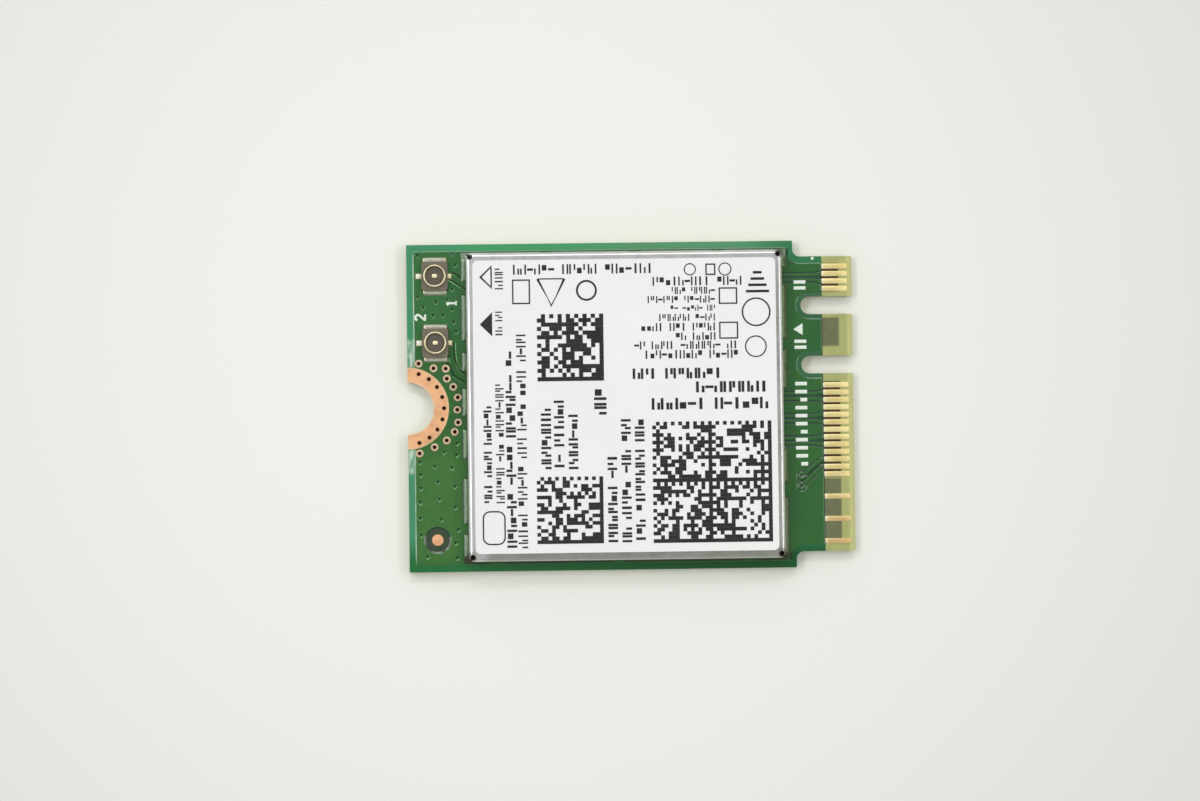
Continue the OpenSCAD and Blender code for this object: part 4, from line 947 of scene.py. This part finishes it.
def port_pin(index):
    """The middle contact: a domed post, and its strip out to the pad."""
    x, y = PORTS[index]
    bm = bmesh.new()
    top = DECK + 0.5
    verts = block(bm, (x - 0.185, x + 0.185), (y - 0.145, y + 0.145), (DECK + 0.05, top))
    soften(bm, upright_edges(verts), 0.1, 4)
    soften(bm, edges_of(bm.verts, top), 0.09, 4)
    soft_block(bm, (x + 0.1, x + 1.115), (y - 0.15, y + 0.15), (DECK + 0.003, PORT_FOOT), 0.03, 2)
    finished(bm, f"port_{index + 1}_post", "port_contact", [f"port_{index + 1}_pin"], smooth=45)


def port_solder():
    """Solder drawn up over the tabs of both ports."""
    bm = bmesh.new()
    foot = DECK - 0.002
    for x, y in PORTS:
        for side in (-1, 1):
            across = sorted((y + side * 0.99, y + side * 1.225))
            soft_block(bm, (x - 0.74, x + 0.74), across, (foot, DECK + 0.115), 0.08, 4)
        soft_block(bm, (x - 1.27, x - 0.885), (y - 0.18, y + 0.18), (foot, DECK + 0.12), 0.08, 4)
    finished(bm, "port_solder", "port_solder", smooth=70)


# Shield, label and print

def shield_lid():
    """The lid's own mesh, shaded smooth over its folds."""
    bm = merged_copy("shield_lid")
    finished(bm, "lid_sheet", "shield_sheet", ["shield_lid"], smooth=38, closed=False)


# Patches: limits in x and in y, squares a side, and parts a side
CODES = [
    (-6.27, -1.83, 1.67, 6.16, 16, 1), (-6.41, -1.98, -9.19, -4.72, 18, 1), (1.35, 9.32, -9.22, -1.13, 32, 2)]
# Rows of print along Y and along X: limits in x and in y, and whether it is bold
UPRIGHT_ROWS = [
    (-9.92, -9.38, -6.41, 0.07, 1), (-9.11, -8.55, -6.43, 1.56, 0), (-8.42, -7.76, -9.41, 3.73, 1),
    (-7.68, -7.04, -9.45, 4.88, 0), (-6.08, -5.41, -4.20, -0.12, 1), (-5.21, -4.54, -4.24, 0.41, 1),
    (-4.25, -3.62, -4.22, -0.54, 1), (-2.51, -1.69, -0.60, 1.20, 1), (-1.67, -1.03, -9.13, -3.25, 1),
    (-0.74, -0.09, -9.15, -0.89, 1), (0.18, 0.82, -9.16, -0.87, 1), (-9.05, -8.51, 7.86, 9.30, 0),
    (-9.05, -8.58, 4.68, 6.42, 0)]
LEVEL_ROWS = [
    (-7.89, 1.52, 8.83, 9.49, 0), (1.44, 7.45, 7.97, 8.57, 0), (2.73, 5.67, 7.40, 7.87, 0),
    (1.11, 5.66, 6.81, 7.28, 0), (2.62, 5.65, 6.26, 6.66, 0), (1.87, 5.64, 5.60, 6.07, 0),
    (0.62, 5.63, 4.93, 5.47, 0), (2.92, 5.66, 4.31, 4.82, 0), (0.16, 7.15, 3.72, 4.25, 0),
    (0.80, 7.18, 3.08, 3.65, 0), (0.05, 6.04, 1.75, 2.45, 1), (4.27, 9.14, 0.80, 1.53, 1),
    (1.29, 9.13, -0.32, 0.45, 1)]
# What stands in one place of a row: from, to, low and high, as shares of its width and the row's height
TICKS = [
    [(0.0, 0.3, 0, 1), (0.62, 0.92, 0, 0.6)],
    [(0.0, 0.3, 0, 0.6), (0.62, 0.92, 0, 1)],
    [(0.0, 0.3, 0, 1), (0.62, 0.92, 0, 1)],
    [(0.0, 0.3, 0.4, 1), (0.62, 0.92, 0, 1)],
    [(0.0, 0.3, 0, 1), (0.62, 0.92, 0.4, 1)],
    [(0.1, 0.82, 0.06, 0.62)],
    [(0.1, 0.82, 0.38, 0.94)],
    [(0.3, 0.64, 0, 1)],
    [(0.0, 0.92, 0.38, 0.62)],
]


def print_block(bm, x0, x1, y0, y1):
    block(bm, (x0, x1), (y0, y1), (LABEL_TOP, LABEL_TOP + INK))


def tick_row(bm, rng, row, reads_up):
    """Plain ticks and blocks with gaps, in place of a line of print."""
    x0, x1, y0, y1, bold = row
    tall, long = (x1 - x0, y1 - y0) if reads_up else (y1 - y0, x1 - x0)
    places = max(2, round(long / (tall * (0.8 if bold else 0.72))))
    step = long / places
    word = rng.randint(3, 8)
    for place in range(places):
        word -= 1
        if word == 0 and places - 2 > place > 1:
            word = rng.randint(4, 9)
            continue
        for first, last, low, high in rng.choice(TICKS):
            a = (place + first) * step
            b = (place + last - (0.0 if bold else 0.07)) * step
            if reads_up:
                print_block(bm, x1 - high * tall, x1 - low * tall, y0 + a, y0 + b)
            else:
                print_block(bm, x1 - b, x1 - a, y0 + (1 - high) * tall, y0 + (1 - low) * tall)


def code_field(bm, rng, field):
    """A patch of squares in a random order that holds no code, framed as such print is. Squares side by side
    are one block."""
    x0, x1, y0, y1, count, regions = field
    cell_x, cell_y = (x1 - x0) / count, (y1 - y0) / count
    part = count // regions
    for j in range(count):
        run = None
        for i in range(count + 1):
            filled = False
            if i < count:
                u, v = i % part, j % part
                if u == part - 1 or v == 0:
                    filled = True
                elif u == 0:
                    filled = v % 2 == 0
                elif v == part - 1:
                    filled = u % 2 == 1
                else:
                    filled = rng.random() < 0.52
            if filled and run is None:
                run = i
            if not filled and run is not None:
                low = y0 + j * cell_y
                print_block(bm, x0 + run * cell_x, x0 + i * cell_x, low, y0 + (j + 0.985) * cell_y)
                run = None


def ring_sign(bm, x, y, rx, ry, line, sides=28):
    """A plain outline, round or with the given number of sides."""
    loops = []
    for r in (0, line):
        made = bmesh.ops.create_circle(
            bm, segments=sides, radius=1, matrix=Matrix.Translation(Vector((x, y, LABEL_TOP)) * MM)
            @ Matrix.Diagonal(((rx - r) * MM, (ry - r) * MM, 1, 1)))
        loops += [e for v in made["verts"] for e in v.link_edges]
    raised(bm, bmesh.ops.bridge_loops(bm, edges=list(set(loops)))["faces"], INK)


def rounded_sign(bm, x0, x1, y0, y1, r):
    """A plain outline with round corners."""
    loops = []
    for inset in (0, SIGN_LINE):
        made = bmesh.ops.create_grid(
            bm, x_segments=1, y_segments=1, size=0.5, matrix=Matrix.Translation(
                Vector(((x0 + x1) / 2, (y0 + y1) / 2, LABEL_TOP)) * MM)
            @ Matrix.Diagonal(((x1 - x0 - 2 * inset) * MM, (y1 - y0 - 2 * inset) * MM, 1, 1)))
        cut = bmesh.ops.bevel(
            bm, geom=made["verts"], offset=(r - inset) * MM, affect="VERTICES", segments=6, profile=0.5,
            material=-1)
        face = cut["verts"][0].link_faces[0]
        loops += list(face.edges)
        bmesh.ops.delete(bm, geom=[face], context="FACES_ONLY")
    raised(bm, bmesh.ops.bridge_loops(bm, edges=loops)["faces"], INK)


def box_sign(bm, x0, x1, y0, y1):
    """A plain outline with square corners."""
    low, high = y0 + SIGN_LINE, y1 - SIGN_LINE
    print_block(bm, x0, x1, y0, low)
    print_block(bm, x0, x1, high, y1)
    print_block(bm, x0, x0 + SIGN_LINE, low, high)
    print_block(bm, x1 - SIGN_LINE, x1, low, high)


def label_print():
    """Dark print: port triangles, rows of ticks, code patches and plain signs."""
    bm = bmesh.new()
    rng = random.Random(22)
    for row in UPRIGHT_ROWS:
        tick_row(bm, rng, row, True)
    for row in LEVEL_ROWS:
        tick_row(bm, rng, row, False)
    for field in CODES:
        code_field(bm, rng, field)
    plate(bm, [(-10.08, 5.52), (-9.26, 4.72), (-9.26, 6.33)], LABEL_TOP, INK)
    # The two slanted sides of the outlined triangle, from its tip
    for a, b in (((-10.08, 8.68), (-9.24, 7.87)), ((-10.08, 8.68), (-9.24, 9.49))):
        side = Vector((b[0] - a[0], b[1] - a[1])).normalized().orthogonal() * SIGN_LINE
        if (side.y > 0) != (b[1] < a[1]):
            side = -side
        inner = [(a[0] + 0.16, a[1]), (b[0] - 0.02, b[1] + side.y * 2.1)]
        plate(bm, [a, b, inner[1], inner[0]], LABEL_TOP, INK)
    print_block(bm, -9.33, -9.24, 8.05, 9.31)
    rounded_sign(bm, -10.05, -8.52, -9.22, -6.95, 0.5)
    for x, y, r, line in ((4.01, 9.05, 0.41, 0.07), (6.36, 9.04, 0.44, 0.07), (8.41, 6.15, 0.97, 0.1),
                          (8.36, 3.84, 0.73, 0.08)):
        ring_sign(bm, x, y, r, r, line)
    ring_sign(bm, -5.3, 7.92, 1.12, -1.12, 0.16, 3)
    ring_sign(bm, -2.93, 7.72, 0.7, 0.7, 0.13)
    for limits in ((-7.9, -6.7, 6.85, 8.5), (5.05, 5.72, 8.65, 9.42), (5.92, 7.16, 6.7, 7.81),
                   (5.92, 7.19, 4.37, 5.51)):
        box_sign(bm, *limits)
    # Four bars, shorter toward +Y
    for i in range(4):
        print_block(bm, 7.75 + 0.16 * i, 9.3 - 0.16 * i, 7.45 + 0.42 * i, 7.62 + 0.42 * i)
    finished(bm, "label_figures", "label_ink", ["label_print"], smooth=20, level=False)


# Each node's finish is its slot's, apart from two that only share a slot
NODE_FINISHES = {row["node"]: row["material_slot"] for row in frame["record"]["subparts"]}
APART = {"solder_mask_bottom": "lacquer_under", "shield_frame": "sheet_inside"}
for name, node in nodes.items():
    finish = FINISHES[APART.get(name, NODE_FINISHES[name])]
    node.data.materials.clear()
    node.data.materials.append(finish)

lacquer_top()
contact_fingers("fingers_top", TOP_CONTACTS, TOP, TOP + FOIL, "top_edge_contacts")
contact_fingers("fingers_under", UNDER_CONTACTS, 0.01, 0.01, "bottom_edge_contacts")
printed_marks()
shield_solder()
for port in (0, 1):
    port_base(port)
    port_ring(port)
    port_pin(port)
port_solder()
shield_lid()
label_print()


# Floor, lamps and sky

def floor():
    """Pale ground with a painted pool of light, a little darker toward the picture's corners."""
    f = Finish("pale_ground", roughness=0.75)
    # Painted pool of light: lighter near the card, darker farther out.
    away = f.rise(f.reach((-7, 2)), 8, 80)
    f.colour(f.mix(away, (0.889, 0.893, 0.847), (0.694, 0.70, 0.652)))
    f.relief(f.grain(1.5, output="Height"), 0.01, 0.2)
    bm = bmesh.new()
    just_below = Matrix.Translation((0, 0, -0.02 * MM))
    bmesh.ops.create_grid(bm, x_segments=1, y_segments=1, size=900 * MM, matrix=just_below)
    mesh = bpy.data.meshes.new("ground")
    bm.to_mesh(mesh)
    bm.free()
    mesh.materials.append(f.material)
    ground = bpy.data.objects.new("ground", mesh)
    scene.collection.objects.link(ground)


def soft_lamp(name, at, size, watts):
    """A rectangular lamp that faces the card, with its place and size in metres."""
    data = bpy.data.lights.new(name, "AREA")
    data.shape = "RECTANGLE"
    data.size, data.size_y = size
    data.energy = watts
    lamp = bpy.data.objects.new(name, data)
    lamp.location = at
    lamp.rotation_mode = "QUATERNION"
    lamp.rotation_quaternion = Vector(at).to_track_quat("Z", "Y")
    scene.collection.objects.link(lamp)


def room():
    """An even pale room: dimmer straight above, where the camera stands, and toward the lower side."""
    world = bpy.data.worlds.new("room")
    scene.world = world
    world.use_nodes = True
    tree = world.node_tree
    shade = tree.nodes["Background"]
    shade.inputs["Color"].default_value = (0.985, 1.0, 0.985, 1)
    where = tree.nodes.new("ShaderNodeTexCoord")
    parts = tree.nodes.new("ShaderNodeSeparateXYZ")
    tree.links.new(where.outputs["Generated"], parts.inputs[0])
    strengths = []
    for axis, (low, high), (bottom, top) in (
            ("Z", (0.86, 0.985), (0.72, 0.40)), ("Y", (-0.7, 0.5), (0.72, 1.08))):
        change = tree.nodes.new("ShaderNodeMapRange")
        change.interpolation_type = "SMOOTHSTEP"
        for label, value in (("From Min", low), ("From Max", high), ("To Min", bottom), ("To Max", top)):
            change.inputs[label].default_value = value
        tree.links.new(parts.outputs[axis], change.inputs["Value"])
        strengths.append(change.outputs["Result"])
    join = tree.nodes.new("ShaderNodeMath")
    join.operation = "MULTIPLY"
    for value, socket in zip(strengths, join.inputs):
        tree.links.new(value, socket)
    tree.links.new(join.outputs[0], shade.inputs["Strength"])


floor()
soft_lamp("lamp_left", (-0.29, 0.09, 0.42), (0.36, 0.075), 0.57)
soft_lamp("lamp_back", (0.0, 0.33, 0.41), (0.30, 0.08), 0.43)
soft_lamp("lamp_right", (0.32, 0.0, 0.39), (0.30, 0.075), 0.31)
room()
